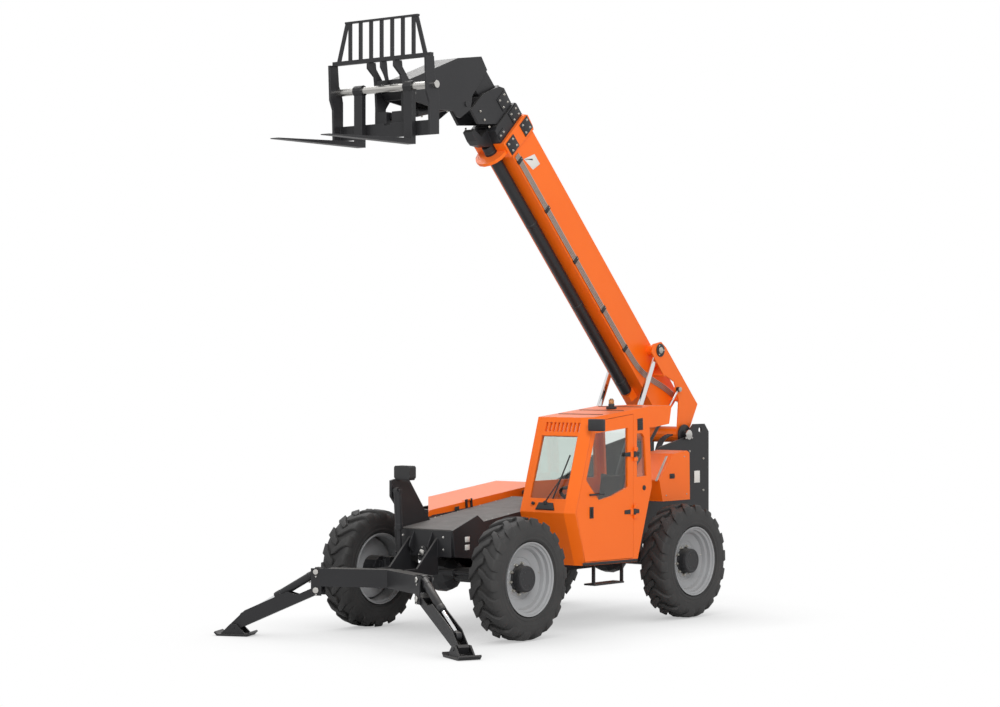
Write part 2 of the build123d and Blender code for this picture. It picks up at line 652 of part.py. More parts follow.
# two hinges on the door's rear edge; their pins stand on the cab's side
door_hinge = (cab_outer_x + 14, 880)
for z in (1330, 2000):
    hinge = Pos(*door_hinge, z)
    bore = hinge * Cylinder(7 + running_gap, 100)
    door += hinge * (bar(13, 70) + Pos(-8, -35, 0) * Box(12, 70, 70)) - bore
    pin = hinge * Cylinder(7, 160)
    for shift in (-60, 60):
        pin += hinge * Pos(0, 0, shift) * (bar(13, 40) + Pos(-8, 35, 0) * Box(12, 70, 40))
    parts["cab_shell"] += pin
parts["cab_door"] = door
parts["door_glass"] = side_plate(door_window, cab_outer_x - 24, cab_outer_x - 24 + glass)



def sill_z(y):
    """Height of the cab's underside at the station y."""
    (y0, z0), (y1, z1) = cab_outline[4], cab_outline[3]
    return z0 + (z1 - z0) * (y - y0) / (y1 - y0)


def floor_z(y):
    """Height on which the seat and the pedals' console stand at the station y."""
    return sill_z(y) + cab_wall + 0.2


seat = side_plate([(420, floor_z(420)), (900, floor_z(900)), (900, 1080), (420, 1080)], 640, 1040)
seat += block((620, 1060), (380, 900), (1080, 1200))
seat += side_plate([(800, 1200), (900, 1200), (1010, 1780), (930, 1800)], 630, 1050)
parts["cab_seat"] = seat
column = side_plate([(-60, 900), (60, 900), (190, 1480), (120, 1500)], 780, 900)
column += side_plate([(-200, 1300), (-100, 1500), (150, 1420), (60, 1100), (-10, floor_z(-10)),
                      (-60, floor_z(-60))], 560, 1045)
wheel_plane = Plane(origin=(840, 200, 1500), x_dir=(1, 0, 0), z_dir=(0, 0.6, 0.8))
column += wheel_plane * Pos(0, 0, 30) * (bar(190, 26, 16) - bar(160, 30, 16))
column += wheel_plane * Pos(0, 0, 30) * Box(370, 40, 16)
column += wheel_plane * bar(30, 60)
parts["cab_controls"] = column

step = block((960, 1120), (240, 800), (500, 520))
for y in (240, 780):
    step += side_plate([(y, 500), (y + 20, 500), (y + 20, sill_z(y + 20)), (y, sill_z(y))], 1070, 1110)
parts["cab_step"] = step

parts["mirror"] = block((1224, 1450), (-35, 10), (2290, 2430)) + block((cab_outer_x, 1230), (-25, 115), (2335, 2360))
beacon_base_z = 2535
parts["cab_shell"] += Pos(860, 900, beacon_base_z - 20) * bar(48, 40)
parts["beacon"] = Pos(860, 900, beacon_base_z + 55) * bar(36, 110, 16)

# ---------------------------------------------------------------- engine side

hood_hinge_x = -frame_half_width + 12
pod_outline = [(-200, 700), (1050, 700), (1250, 1000), (1250, 1440), (-380, 1330), (-380, 1000)]
pod = side_plate(pod_outline, -1190, -frame_half_width)
pod -= side_plate([(-160, 740), (1030, 740), (1210, 1010), (1210, 1500), (-340, 1500), (-340, 1010)],
                  -1150, -frame_half_width - 30)
parts["engine_pod"] = pod
hood_front = (-845, 1365)    # y, z of the two ends of the hood's top
hood_rear = (1250, 1600)
hood_inner_x = -frame_half_width - 6
hood_rise = math.atan2(hood_rear[1] - hood_front[1], hood_rear[0] - hood_front[0])


def hood_solid(x0, x1, outline, setback):
    """The hood's side outline given width, with its front edge swept back behind the tyre."""
    swept = [(100, -1000 - 700), (100, -880 - 622 + setback), (-1300, 95 + setback), (-1300, -1700)]
    return side_plate(outline, x0, x1) - prism(Plane.XY, swept, 1000, 1800)


hood = hood_solid(-1190, hood_inner_x, [(-880, 1290), (-880, 1345), hood_front, hood_rear, (1250, 1446), (-380, 1336)], 0)
hood -= hood_solid(-1160, hood_inner_x - 30, [(-1000, 1200), (-1000, 1340), (-835, 1340), (1215, 1570), (1215, 1200)],
                   38)
# two hinges along the hood's inner edge
for y in (-180, 1040):
    z = hood_front[1] + (y - hood_front[0]) * math.tan(hood_rise) + 14
    hinge = Pos(hood_hinge_x, y, z) * Rot(90 + math.degrees(hood_rise), 0, 0)
    knuckle_ring = hinge * (bar(14, 50) - Cylinder(8 + running_gap, 60))
    hood += knuckle_ring + hinge * (Pos(-48, -10.5, 0) * Box(80, 7, 50) - Cylinder(8 + running_gap, 60))
    ears = hinge * Cylinder(8, 110)
    for shift in (-45, 45):
        ears += hinge * (Pos(0, 0, shift) * (bar(14, 20) + Pos(0, -60, 0) * Box(22, 120, 20)))
    parts["main_frame"] += ears
parts["engine_hood"] = hood
parts["engine_block"] = block((-980, -540), (-60, 900), (740, 1330))

tank_outline = [(2100, 1960), (2390, 1990), (2440, 1960), (2450, 1390), (1880, 1390), (1810, 1650)]
parts["side_tank"] = side_plate(tank_outline, tank_inner_x, 900)

driveline = block((-200, 160), (200, 760), (640, 1000))
for y0, y1 in ((front_axle_y + 350, 200), (760, rear_axle_y - 350)):
    driveline += Pos(0, (y0 + y1) / 2, axle_z) * Rot(90, 0, 0) * bar(38, y1 - y0)
parts["driveline"] = driveline

# ---------------------------------------------------------------- outriggers

sweep = math.radians(leg_sweep)
leg_level = Vector(math.cos(sweep), -math.sin(sweep), 0)
leg_plane = Plane(origin=leg_pin, x_dir=leg_level, z_dir=Vector(-math.sin(sweep), -math.cos(sweep), 0))
# in leg_plane: x runs outward along the leg, y is up, z is across it
arm_height = (45, 245)


def leg_slab(outline, z0, z1):
    """A flat piece in the leg's own plane, between z0 and z1 across it."""
    return prism(leg_plane, outline, z0, z1)


def leg_bar(place, radius, z0, z1):
    return extrude(leg_plane.offset(z0) * Pos(*place) * Circle(radius), amount=z1 - z0)


def turned(outline):
    """The outline, given along the leg and square to it, turned down to the rest angle."""
    angle = math.radians(-leg_drop)
    return [(u * math.cos(angle) - v * math.sin(angle), u * math.sin(angle) + v * math.cos(angle))
            for u, v in outline]


cross = 80                   # half width of the beam's arms
arm = leg_slab([(-870, 45), (-60, 45), (60, 150), (60, 245), (-870, 245)], -cross, cross)
arm -= leg_slab([(-140, 0), (100, 0), (100, 300), (-140, 300)], -cross + 14, cross - 14)
for z0, z1 in ((-cross, -cross + 14), (cross - 14, cross)):
    arm += leg_slab([(-60, 50), (-60, -60), (60, -60), (60, 160), (-140, 160), (-140, 50)], z0, z1)
beam = arm + mirrored(arm)
beam -= block((-189, 189), (beam_apex_y + 40, beam_apex_y + 400), (400, 1000))
pin_reach = cross + 6
for place, radius in (((0, 0), 26), ((0, 205), 22)):
    beam += both_sides(leg_bar(place, radius, -pin_reach, pin_reach))
parts["outrigger_beam"] = beam

# Arms of the frame that carry the beam, notched to sit against it
arm_outline = [(front_plate_y + 10, 900), (front_plate_y + 10, 1120), (beam_apex_y + 150, 785),
               (beam_apex_y - 70, 785), (beam_apex_y - 70, 700), (front_plate_y + 10, 700)]
parts["main_frame"] += both_sides(side_plate(arm_outline, 190, 215)) - beam

half = leg_width / 2 - 12
leg_outline = turned([(-45, -45), (leg_length + 45, -40), (leg_length + 45, 40), (880, 120), (330, 120),
                      (235, 42), (-45, 42)])
leg_hollow = turned([(60, -30), (leg_length - 20, -28), (leg_length + 60, 200), (60, 200)])
leg = leg_slab(leg_outline, -half, half)
leg -= leg_slab(leg_hollow, -half + 10, half - 10)
leg -= leg_bar((0, 0), 26 + running_gap, -100, 100)
foot_local = turned([(leg_length, 0)])[0]
leg += leg_bar(foot_local, 20, -half - 40, half + 40)
parts["outrigger_leg_left"] = leg
parts["outrigger_leg_right"] = mirrored(leg)

foot_pin = leg_plane.from_local_coords((*foot_local, 0))
pad_floor = -foot_pin.Z
pad_y = foot_local[1]
foot_x = foot_local[0]
foot_pad = [(-180, 0), (180, 0), (218, 38), (204, 52), (172, 22), (-172, 22), (-204, 52), (-218, 38)]
foot = leg_slab([(foot_x + u, pad_y + pad_floor + v) for u, v in foot_pad], -130, 130)
for z0, z1 in ((-half - 34, -half - 14), (half + 14, half + 34)):
    foot += leg_slab([(foot_x - 150, pad_y + pad_floor + 20), (foot_x + 150, pad_y + pad_floor + 20),
                      (foot_x + 34, pad_y + 34), (foot_x - 34, pad_y + 34)], z0, z1)
foot -= leg_bar((foot_x, pad_y), 20 + running_gap, -200, 200)
parts["outrigger_foot_left"] = foot
parts["outrigger_foot_right"] = mirrored(foot)

ram_eye = turned([(930, 70)])[0]
ram_base_point = leg_plane.from_local_coords((0, 205, 0))
ram_eye_point = leg_plane.from_local_coords((*ram_eye, 0))
barrel, rod = hydraulic(tuple(ram_base_point), tuple(ram_eye_point), tuple(leg_plane.z_dir),
                        38, 640, 22, 640, (36, 34, 60, 22 + running_gap))
parts["outrigger_barrel_left"] = barrel
parts["outrigger_rod_left"] = rod
parts["outrigger_barrel_right"] = mirrored(barrel)
parts["outrigger_rod_right"] = mirrored(rod)

# ---------------------------------------------------------------- export

os.makedirs("parts", exist_ok=True)
for name, solid in parts.items():
    export_step(solid, "parts/" + name + ".step")
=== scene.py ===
import json
import math
import bmesh
import bpy
from mathutils import Matrix, Vector


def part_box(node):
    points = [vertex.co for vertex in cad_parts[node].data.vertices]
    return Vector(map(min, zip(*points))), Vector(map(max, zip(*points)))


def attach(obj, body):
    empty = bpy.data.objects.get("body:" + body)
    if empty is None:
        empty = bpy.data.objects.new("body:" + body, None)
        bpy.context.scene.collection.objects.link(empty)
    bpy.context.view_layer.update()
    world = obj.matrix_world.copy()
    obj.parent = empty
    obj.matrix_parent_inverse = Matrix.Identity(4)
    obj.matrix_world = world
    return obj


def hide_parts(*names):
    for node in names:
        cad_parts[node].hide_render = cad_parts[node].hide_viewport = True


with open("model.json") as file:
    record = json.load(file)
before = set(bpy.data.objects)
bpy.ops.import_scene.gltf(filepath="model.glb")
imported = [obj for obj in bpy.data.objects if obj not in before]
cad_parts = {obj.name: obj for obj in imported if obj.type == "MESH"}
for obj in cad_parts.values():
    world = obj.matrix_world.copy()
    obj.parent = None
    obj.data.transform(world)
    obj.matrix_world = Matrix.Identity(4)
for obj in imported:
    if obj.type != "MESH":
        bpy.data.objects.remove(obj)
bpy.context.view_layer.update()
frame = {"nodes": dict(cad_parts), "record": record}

# ---------------------------------------------------------------- shared places, in metres
boom_pivot_y, boom_pivot_z = 3.05, 2.16
boom_angle = math.radians(46.7)      # the boom's rise above the horizontal
frame_side = 0.440                   # outer face of the side plates
front_face = -1.480                  # front face of the frame
axle_pin_z = 0.94                    # height of the pin that the front axle rocks on
cab_side = 1.200                     # outer face of the cab's door wall
cab_skin = cab_side + 0.0002         # where thin fittings stand on that wall
tank_side = 0.900                    # outer face of the side tank
hinge_heights = (1.33, 2.00)         # middles of the door's two hinges
beacon_x, beacon_y = 0.86, 0.90
mirror_arm_z = 2.3475

# ---------------------------------------------------------------- studio
# A seamless pale floor, a white surround and two large soft lamps, as in a product studio.
# The camera stands low, off the machine's front left corner, with a long lens.


def linear(code):
    """An sRGB hex colour as linear values with full alpha."""
    channels = [int(code[index:index + 2], 16) / 255 for index in (1, 3, 5)]
    return [c / 12.92 if c <= 0.04045 else ((c + 0.055) / 1.055) ** 2.4 for c in channels] + [1.0]


def add(tree, kind, inputs=(), **settings):
    """Adds a node; an input given as a socket is linked, any other value is set on its socket."""
    made = tree.nodes.new(kind)
    for name, value in settings.items():
        setattr(made, name, value)
    for name, value in dict(inputs).items():
        socket = made.inputs[name] if isinstance(name, int) else next(
            entry for entry in made.inputs if entry.name == name and entry.enabled)
        if isinstance(value, bpy.types.NodeSocket):
            tree.links.new(value, socket)
        else:
            socket.default_value = value
    return made


def blank_material(name):
    """A material with an empty node tree but for its output."""
    made = bpy.data.materials.new(name)
    made.use_nodes = True
    made.node_tree.nodes.clear()
    return made, made.node_tree, add(made.node_tree, "ShaderNodeOutputMaterial")


def finish_tree(tree, output, inputs):
    """Ends a material's tree in one Principled surface."""
    surface = add(tree, "ShaderNodeBsdfPrincipled", inputs)
    tree.links.new(surface.outputs[0], output.inputs["Surface"])


scene = bpy.context.scene
scene.view_settings.view_transform = "Standard"

camera_data = bpy.data.cameras.new("camera")
camera_data.lens = 87.7
camera_data.sensor_width = 36
camera_data.clip_end = 200
camera = bpy.data.objects.new("camera", camera_data)
scene.collection.objects.link(camera)
camera.location = (18.095, -22.078, 3.121)
camera.rotation_euler = (math.radians(90.11), 0, math.radians(39.49))
scene.camera = camera

# White paper: to the eye it glows evenly white, with a painted shadow that greys it softly where the machine
# closes off the sky
paper, tree, output = blank_material("matt_white_paper")
ray = add(tree, "ShaderNodeLightPath")
occlusion_for_painted_shadow = add(tree, "ShaderNodeAmbientOcclusion", {"Distance": 1.6}, samples=12)
# painted shadow: the paper's glow is dimmed by ambient occlusion near the machine
grey = add(tree, "ShaderNodeMapRange", {"Value": occlusion_for_painted_shadow.outputs["AO"], 1: 0.0, 2: 1.0, 3: 0.42, 4: 1.0})
white_glow_with_painted_shadow = add(tree, "ShaderNodeEmission", {"Color": linear("#FFFFFF"), "Strength": grey.outputs[0]})
matt = add(tree, "ShaderNodeBsdfDiffuse", {"Color": linear("#E8E8E8")})
mixed = add(tree, "ShaderNodeMixShader",
            {0: ray.outputs["Is Camera Ray"], 1: matt.outputs[0], 2: white_glow_with_painted_shadow.outputs[0]})
tree.links.new(mixed.outputs[0], output.inputs["Surface"])
floor_mesh = bpy.data.meshes.new("studio_floor")
bm = bmesh.new()
bmesh.ops.create_grid(bm, x_segments=1, y_segments=1, size=60)
bm.to_mesh(floor_mesh)
bm.free()
floor_mesh.materials.append(paper)
floor = bpy.data.objects.new("studio_floor", floor_mesh)
scene.collection.objects.link(floor)
floor.location.z = -0.001     # just under the wheels and feet

world = bpy.data.worlds.new("white_surround")
scene.world = world
world.use_nodes = True
world.node_tree.nodes.clear()
tree = world.node_tree
ray = add(tree, "ShaderNodeLightPath")
direct = add(tree, "ShaderNodeMath", {0: ray.outputs["Is Camera Ray"], 1: ray.outputs["Is Transmission Ray"]},
             operation="MAXIMUM")
seen = add(tree, "ShaderNodeMath", {0: direct.outputs[0], 1: ray.outputs["Is Glossy Ray"]},
           operation="MAXIMUM")
light = add(tree, "ShaderNodeBackground", {"Color": linear("#FFFFFF"), "Strength": 0.62})
white = add(tree, "ShaderNodeBackground", {"Color": linear("#FFFFFF"), "Strength": 1.0})
mixed = add(tree, "ShaderNodeMixShader", {0: seen.outputs[0], 1: light.outputs[0], 2: white.outputs[0]})
add(tree, "ShaderNodeOutputWorld", {"Surface": mixed.outputs[0]})

lamps = [
    # name, place, target, size in metres, power in watts
    ("key_lamp", (14, -12, 13), (0, 0, 2.5), 9, 1950),
    ("top_lamp", (-6, 4, 16), (0, 0, 2.0), 10, 900),
]
for name, place, target, size, power in lamps:
    lamp_data = bpy.data.lights.new(name, "AREA")
    lamp_data.shape = "DISK"
    lamp_data.size = size
    lamp_data.energy = power
    lamp = bpy.data.objects.new(name, lamp_data)
    scene.collection.objects.link(lamp)
    lamp.location = place
    lamp.rotation_euler = (Vector(target) - Vector(place)).to_track_quat("-Z", "Y").to_euler()

# ---------------------------------------------------------------- tyres
# Four industrial tyres of moulded rubber with eighteen bars a side. Each bar starts at the
# middle of the tread, bends back towards the shoulder and ends as a block on the sidewall.


def piece(name, bm, body, materials, smooth_angle=32):
    """The mesh as one piece that rides on a body, smooth except at edges sharper than the angle."""
    bmesh.ops.recalc_face_normals(bm, faces=bm.faces)
    mesh = bpy.data.meshes.new(name)
    bm.to_mesh(mesh)
    bm.free()
    for material in materials:
        mesh.materials.append(material)
    mesh.shade_smooth()
    mesh.set_sharp_from_angle(angle=math.radians(smooth_angle))
    made = bpy.data.objects.new(name, mesh)
    scene.collection.objects.link(made)
    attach(made, body)
    return made


def turned(bm, profile, steps=96, closed=False, material=0):
    """A profile of (x, radius) points in metres spun once about the X axis."""
    verts = [bm.verts.new((x, 0, radius)) for x, radius in profile]
    edges = [bm.edges.new(pair) for pair in zip(verts, verts[1:])]
    if closed:
        edges.append(bm.edges.new((verts[-1], verts[0])))
    before = set(bm.faces)
    bmesh.ops.spin(bm, geom=verts + edges, cent=(0, 0, 0), axis=(1, 0, 0), angle=2 * math.pi,
                   steps=steps, use_merge=True)
    for face in set(bm.faces) - before:
        face.material_index = material


def lofted(bm, sections, ease=0.004, material=0):
    """A solid pulled through four-cornered sections, each a list of points, with eased edges."""
    shape = bmesh.new()
    face = shape.faces.new([shape.verts.new(point) for point in sections[0]])
    for index, points in enumerate(sections[1:]):
        grown = bmesh.ops.extrude_face_region(shape, geom=[face])["geom"]
        if index > 0:
            bmesh.ops.delete(shape, geom=[face], context="FACES_ONLY")
        face = next(item for item in grown if isinstance(item, bmesh.types.BMFace))
        for vert, point in zip(face.verts, points):
            vert.co = point
    merge_into(bm, shape, ease, material)


def merge_into(bm, shape, ease, material):
    """Eases the shape's sharp edges and adds it to the larger mesh."""
    bmesh.ops.recalc_face_normals(shape, faces=shape.faces)
    if ease:
        sharp = [edge for edge in shape.edges if len(edge.link_faces) == 2 and edge.calc_face_angle() > 0.5]
        bmesh.ops.bevel(shape, geom=sharp, offset=ease, segments=2, profile=0.5, affect="EDGES",
                        material=-1, clamp_overlap=True)
    for face in shape.faces:
        face.material_index = material
    carried = bpy.data.meshes.new("carried")
    shape.to_mesh(carried)
    shape.free()
    bm.from_mesh(carried)
    bpy.data.meshes.remove(carried)


# Moulded black rubber: dull, a little lighter where it scatters light, with fine pores and
# the pale bloom that new tyres have. The pores are drawn coarser than they are, to show.
tyre_rubber, tree, output = blank_material("moulded_tyre_rubber")
place = add(tree, "ShaderNodeTexCoord").outputs["Object"]
bloom = add(tree, "ShaderNodeTexNoise", {"Vector": place, "Scale": 5.0, "Detail": 6.0})
shade = add(tree, "ShaderNodeMix", {"Factor": bloom.outputs["Fac"], "A": linear("#262627"),
            "B": linear("#3B3A39")}, data_type="RGBA")
pores = add(tree, "ShaderNodeTexNoise", {"Vector": place, "Scale": 220.0, "Detail": 3.0})
relief = add(tree, "ShaderNodeBump", {"Height": pores.outputs["Fac"], "Strength": 0.25, "Distance": 0.002})
finish_tree(tree, output, {"Base Color": shade.outputs[2], "Roughness": 0.62, "Specular IOR Level": 0.4,
                           "Normal": relief.outputs[0]})

wheels = [
    # name, side (+1 left)
    ("front_left", 1), ("front_right", -1), ("rear_left", 1), ("rear_right", -1),
]
tyre_low, tyre_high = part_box("front_left_tyre")
tyre_half = (tyre_high[0] - tyre_low[0]) / 2
lug_count = 18
carcass = [
    # x, radius from the inner bead round the tread to the outer bead
    (-0.146, 0.398), (-0.150, 0.415), (-0.168, 0.424), (-0.179, 0.440), (-0.1835, 0.462), (-0.1855, 0.500),
    (-0.1855, 0.540), (-0.183, 0.575), (-0.176, 0.604), (-0.164, 0.628), (-0.140, 0.643), (-0.090, 0.649),
    (0, 0.651),
]
carcass += [(-x, radius) for x, radius in reversed(carcass[:-1])]
ribs = [(0.505, 0.0035), (0.455, 0.003)]      # raised rings moulded on each sidewall: radius, height

# x, turn round the wheel in degrees, foot radius, crown radius, half width of one bar's sections
bar_sections = [
    (-0.020, -1.0, 0.640, 0.6825, 0.030),
    (0.030, 1.5, 0.640, 0.6828, 0.040),
    (0.075, 6.0, 0.640, 0.6815, 0.050),
    (0.125, 10.5, 0.636, 0.6770, 0.058),
    (0.160, 12.5, 0.622, 0.6660, 0.062),
    (0.178, 13.0, 0.600, 0.6380, 0.061),
    (0.1845, 13.2, 0.566, 0.5980, 0.054),
]


def wheel_place(name, side):
    """Where a wheel made about the X axis goes; the outside of the wheel is +X on the left."""
    low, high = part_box(name + "_tyre")
    middle = (Vector(low) + Vector(high)) / 2
    return Matrix.Translation(middle) @ Matrix.Rotation(0 if side > 0 else math.pi, 4, "Z")


for name, side in wheels:
    bm = bmesh.new()
    turned(bm, carcass, steps=120)
    for hand in (-1, 1):
        for radius, height in ribs:
            wall = hand * (tyre_half - 0.002)
            turned(bm, [(wall, radius + 0.012), (wall + hand * height, radius + 0.008),
                        (wall + hand * height, radius - 0.008), (wall, radius - 0.012)])
        bars = bmesh.new()
        corners = []
        for x, turn, foot, crown, half in bar_sections:
            twist = Matrix.Rotation(math.radians(turn + (0 if hand > 0 else 180 / lug_count)), 3, "X")
            corners.append([twist @ Vector((hand * x, y, z)) for y, z in
                            ((-half - 0.006, foot), (half + 0.006, foot), (half, crown), (-half, crown))])
        lofted(bars, corners, ease=0.005)
        bmesh.ops.spin(bars, geom=bars.verts[:] + bars.edges[:] + bars.faces[:], cent=(0, 0, 0),
                       axis=(1, 0, 0), angle=2 * math.pi * (lug_count - 1) / lug_count,
                       steps=lug_count - 1, use_duplicate=True)
        merge_into(bm, bars, 0, 0)
    bmesh.ops.transform(bm, matrix=wheel_place(name, side), verts=bm.verts)
    tyre = piece(name + "_tyre_moulded", bm, name + "_wheel", [tyre_rubber])
    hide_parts(name + "_tyre")


# ---------------------------------------------------------------- wheel discs
# Welded steel wheels in silver enamel: a rolled rim with its bead seat, a dished centre and
# ten nuts on studs round the black planetary hub.


def enamel(name, base, shade, roughness, coat, edge):
    """Sprayed enamel: slightly mottled, with orange peel, softened edges paled as a painted highlight and
    wear, and upward faces paled as a painted highlight of the light from above.
    """
    made, tree, output = blank_material(name)
    place = add(tree, "ShaderNodeTexCoord").outputs["Object"]
    mottle = add(tree, "ShaderNodeTexNoise", {"Vector": place, "Scale": 2.2, "Detail": 5.0})
    paint = add(tree, "ShaderNodeMix",
                {"Factor": mottle.outputs["Fac"], "A": linear(shade), "B": linear(base)}, data_type="RGBA")
    soft = add(tree, "ShaderNodeBevel", {"Radius": 0.005}, samples=4)
    face = add(tree, "ShaderNodeNewGeometry")
    bend = add(tree, "ShaderNodeVectorMath", {0: soft.outputs[0], 1: face.outputs["Normal"]},
               operation="DOT_PRODUCT")
    # painted highlight and wear: edges found by the bevel normal are mixed toward the paler edge colour
    pale_edge_highlight_and_wear = add(tree, "ShaderNodeMapRange",
                   {"Value": bend.outputs["Value"], 1: 0.995, 2: 0.90, 3: 0.0, 4: 0.55})
    paint_with_edge_highlight_and_wear = add(tree, "ShaderNodeMix",
                {"Factor": pale_edge_highlight_and_wear.outputs[0], "A": paint.outputs[2], "B": linear(edge)}, data_type="RGBA")
    upward = add(tree, "ShaderNodeSeparateXYZ", {0: face.outputs["Normal"]})
    # painted highlight: faces that look upward are paled toward a light beige, as if lit from above
    upward_painted_highlight = add(tree, "ShaderNodeMapRange",
                  {"Value": upward.outputs["Z"], 1: 0.55, 2: 1.0, 3: 0.0, 4: 0.10})
    paint_with_top_highlight = add(tree, "ShaderNodeMix",
                {"Factor": upward_painted_highlight.outputs[0], "A": paint_with_edge_highlight_and_wear.outputs[2], "B": linear("#CFC8BE")},
                data_type="RGBA")
    # orange peel is about 2 mm across; it is drawn at 6 mm so that it shows
    peel = add(tree, "ShaderNodeTexNoise", {"Vector": place, "Scale": 160.0, "Detail": 1.0})
    relief = add(tree, "ShaderNodeBump", {"Height": peel.outputs["Fac"], "Strength": 0.06, "Distance": 0.002,
                 "Normal": soft.outputs[0]})
    finish_tree(tree, output, {"Base Color": paint_with_top_highlight.outputs[2], "Roughness": roughness,
                               "Specular IOR Level": 0.3, "Coat Weight": coat, "Coat Roughness": 0.18,
                               "Normal": relief.outputs[0]})
    return made


def metal(name, base, roughness, grain, stretch):
    """Bare metal with fine marks from how it was machined; stretch draws them out along an axis."""
    made, tree, output = blank_material(name)
    place = add(tree, "ShaderNodeTexCoord").outputs["Object"]
    drawn = add(tree, "ShaderNodeMapping", {"Vector": place, "Scale": stretch})
    marks = add(tree, "ShaderNodeTexNoise", {"Vector": drawn.outputs[0], "Scale": grain, "Detail": 4.0})
    rough = add(tree, "ShaderNodeMapRange", {"Value": marks.outputs["Fac"], 1: 0.3, 2: 0.7,
                3: roughness * 0.7, 4: roughness * 1.3})
    soft = add(tree, "ShaderNodeBevel", {"Radius": 0.003}, samples=4)
    relief = add(tree, "ShaderNodeBump", {"Height": marks.outputs["Fac"], "Strength": 0.08, "Distance": 0.001,
                 "Normal": soft.outputs[0]})
    finish_tree(tree, output, {"Base Color": linear(base), "Metallic": 1.0, "Roughness": rough.outputs[0],
                               "Normal": relief.outputs[0]})
    return made


def round_bar(bm, start, end, radius, steps=32, ease=0.002, material=0):
    """A turned bar from one point to another, with eased ends."""
    start, end = Vector(start), Vector(end)
    shape = bmesh.new()
    turn = (end - start).to_track_quat("Z", "Y").to_matrix().to_4x4()
    bmesh.ops.create_cone(shape, cap_ends=True, segments=steps, radius1=radius, radius2=radius,
                          depth=(end - start).length, matrix=Matrix.Translation((start + end) / 2) @ turn)
    merge_into(bm, shape, ease, material)


def bolt(bm, place, axis, size, material=0):
    """A washer and a hexagon head standing on a face along the axis; size is the thread."""
    place, axis = Vector(place), Vector(axis).normalized()
    round_bar(bm, place - axis * 0.002, place + axis * size * 0.2, size * 1.15, 20, 0.0008, material)
    round_bar(bm, place, place + axis * size * 0.85, size * 0.92, 6, 0.0012, material)


# silver enamel on pressed steel: even, with a low gloss
silver_enamel = enamel("silver_grey_wheel_enamel", "#A8A9AA", "#909193", 0.40, 0.15, "#D2D3D4")
# black enamel on the frame, axles and booms: satin, greyer on its edges as a painted highlight and wear
black_enamel = enamel("satin_black_enamel", "#29292B", "#202022", 0.44, 0.10, "#565658")
# zinc-plated studs, nuts and washers: bright, faintly clouded
zinc_plate = metal("zinc_plated_steel", "#B9B6AE", 0.34, 300.0, (1, 1, 1))

rim_profile = [
    # x, radius: down the outside from the outer flange, back up the inside and across the bead seats
    (0.176, 0.412), (0.170, 0.398), (0.150, 0.392), (0.140, 0.373), (0.098, 0.368), (0.088, 0.345),
    (0.078, 0.340), (0.040, 0.330), (0.024, 0.262), (0.018, 0.240), (0.010, 0.232), (0.010, 0.205),
    (0.018, 0.198), (0.018, 0.100),
    (-0.014, 0.100), (-0.014, 0.225), (-0.004, 0.345), (0.060, 0.352), (0.068, 0.376), (-0.140, 0.376),
    (-0.152, 0.392), (-0.176, 0.398), (-0.176, 0.412), (-0.150, 0.408), (-0.140, 0.397), (0.140, 0.397),
    (0.150, 0.408),
]
hub_profile = [
    (0.018, 0.0), (0.018, 0.158), (0.030, 0.156), (0.034, 0.148), (0.096, 0.145), (0.098, 0.1475),
    (0.112, 0.1475), (0.114, 0.145), (0.128, 0.143), (0.134, 0.136), (0.136, 0.120), (0.132, 0.114),
    (0.132, 0.0),
]
stud_count, stud_circle = 10, 0.171
cover_bolt_count, cover_bolt_circle = 6, 0.085
disc_face, hub_face = 0.018, 0.131             # x of the faces that the studs and cover bolts stand on
for name, side in wheels:
    bm = bmesh.new()
    turned(bm, rim_profile, steps=96, closed=True)
    bmesh.ops.remove_doubles(bm, verts=bm.verts, dist=0.0002)
    turned(bm, hub_profile, steps=64, material=1)
    bmesh.ops.remove_doubles(bm, verts=bm.verts, dist=0.0002)
    for index in range(stud_count):
        angle = math.radians(360 / stud_count * index + 9)
        spot = Vector((disc_face, stud_circle * math.cos(angle), stud_circle * math.sin(angle)))
        round_bar(bm, spot, spot + Vector((0.006, 0, 0)), 0.020, 20, 0.001, 2)
        round_bar(bm, spot, spot + Vector((0.026, 0, 0)), 0.0165, 6, 0.0015, 2)
        round_bar(bm, spot, spot + Vector((0.036, 0, 0)), 0.0095, 16, 0.001, 2)
    for index in range(cover_bolt_count):
        angle = math.radians(360 / cover_bolt_count * index)
        spot = Vector((hub_face, cover_bolt_circle * math.cos(angle), cover_bolt_circle * math.sin(angle)))
        bolt(bm, spot, (1, 0, 0), 0.008, 1)
    # the tyre's valve
    round_bar(bm, (0.010, 0.30, 0.05), (0.052, 0.318, 0.052), 0.006, 12, 0.001, 2)
    bmesh.ops.transform(bm, matrix=wheel_place(name, side), verts=bm.verts)
    disc = piece(name + "_disc_pressed", bm, name + "_wheel", [silver_enamel, black_enamel, zinc_plate],
                 28)
    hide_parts(name + "_rim")


def clad(material, *names):
    """Gives CAD nodes their finish."""
    for name in names:
        for slot in frame["nodes"][name].material_slots:
            slot.material = material


# ---------------------------------------------------------------- frame, axles and deck
# A frame of flame-cut plate, welded and sprayed black, on two steering axles. Grey grit-coated
# deck panels are laid between its side plates and held by small screws.
clad(black_enamel, "main_frame", "front_axle", "rear_axle", "driveline", "engine_pod", "outrigger_beam",
     "cab_step")
for name, side in wheels:
    clad(black_enamel, name + "_knuckle")

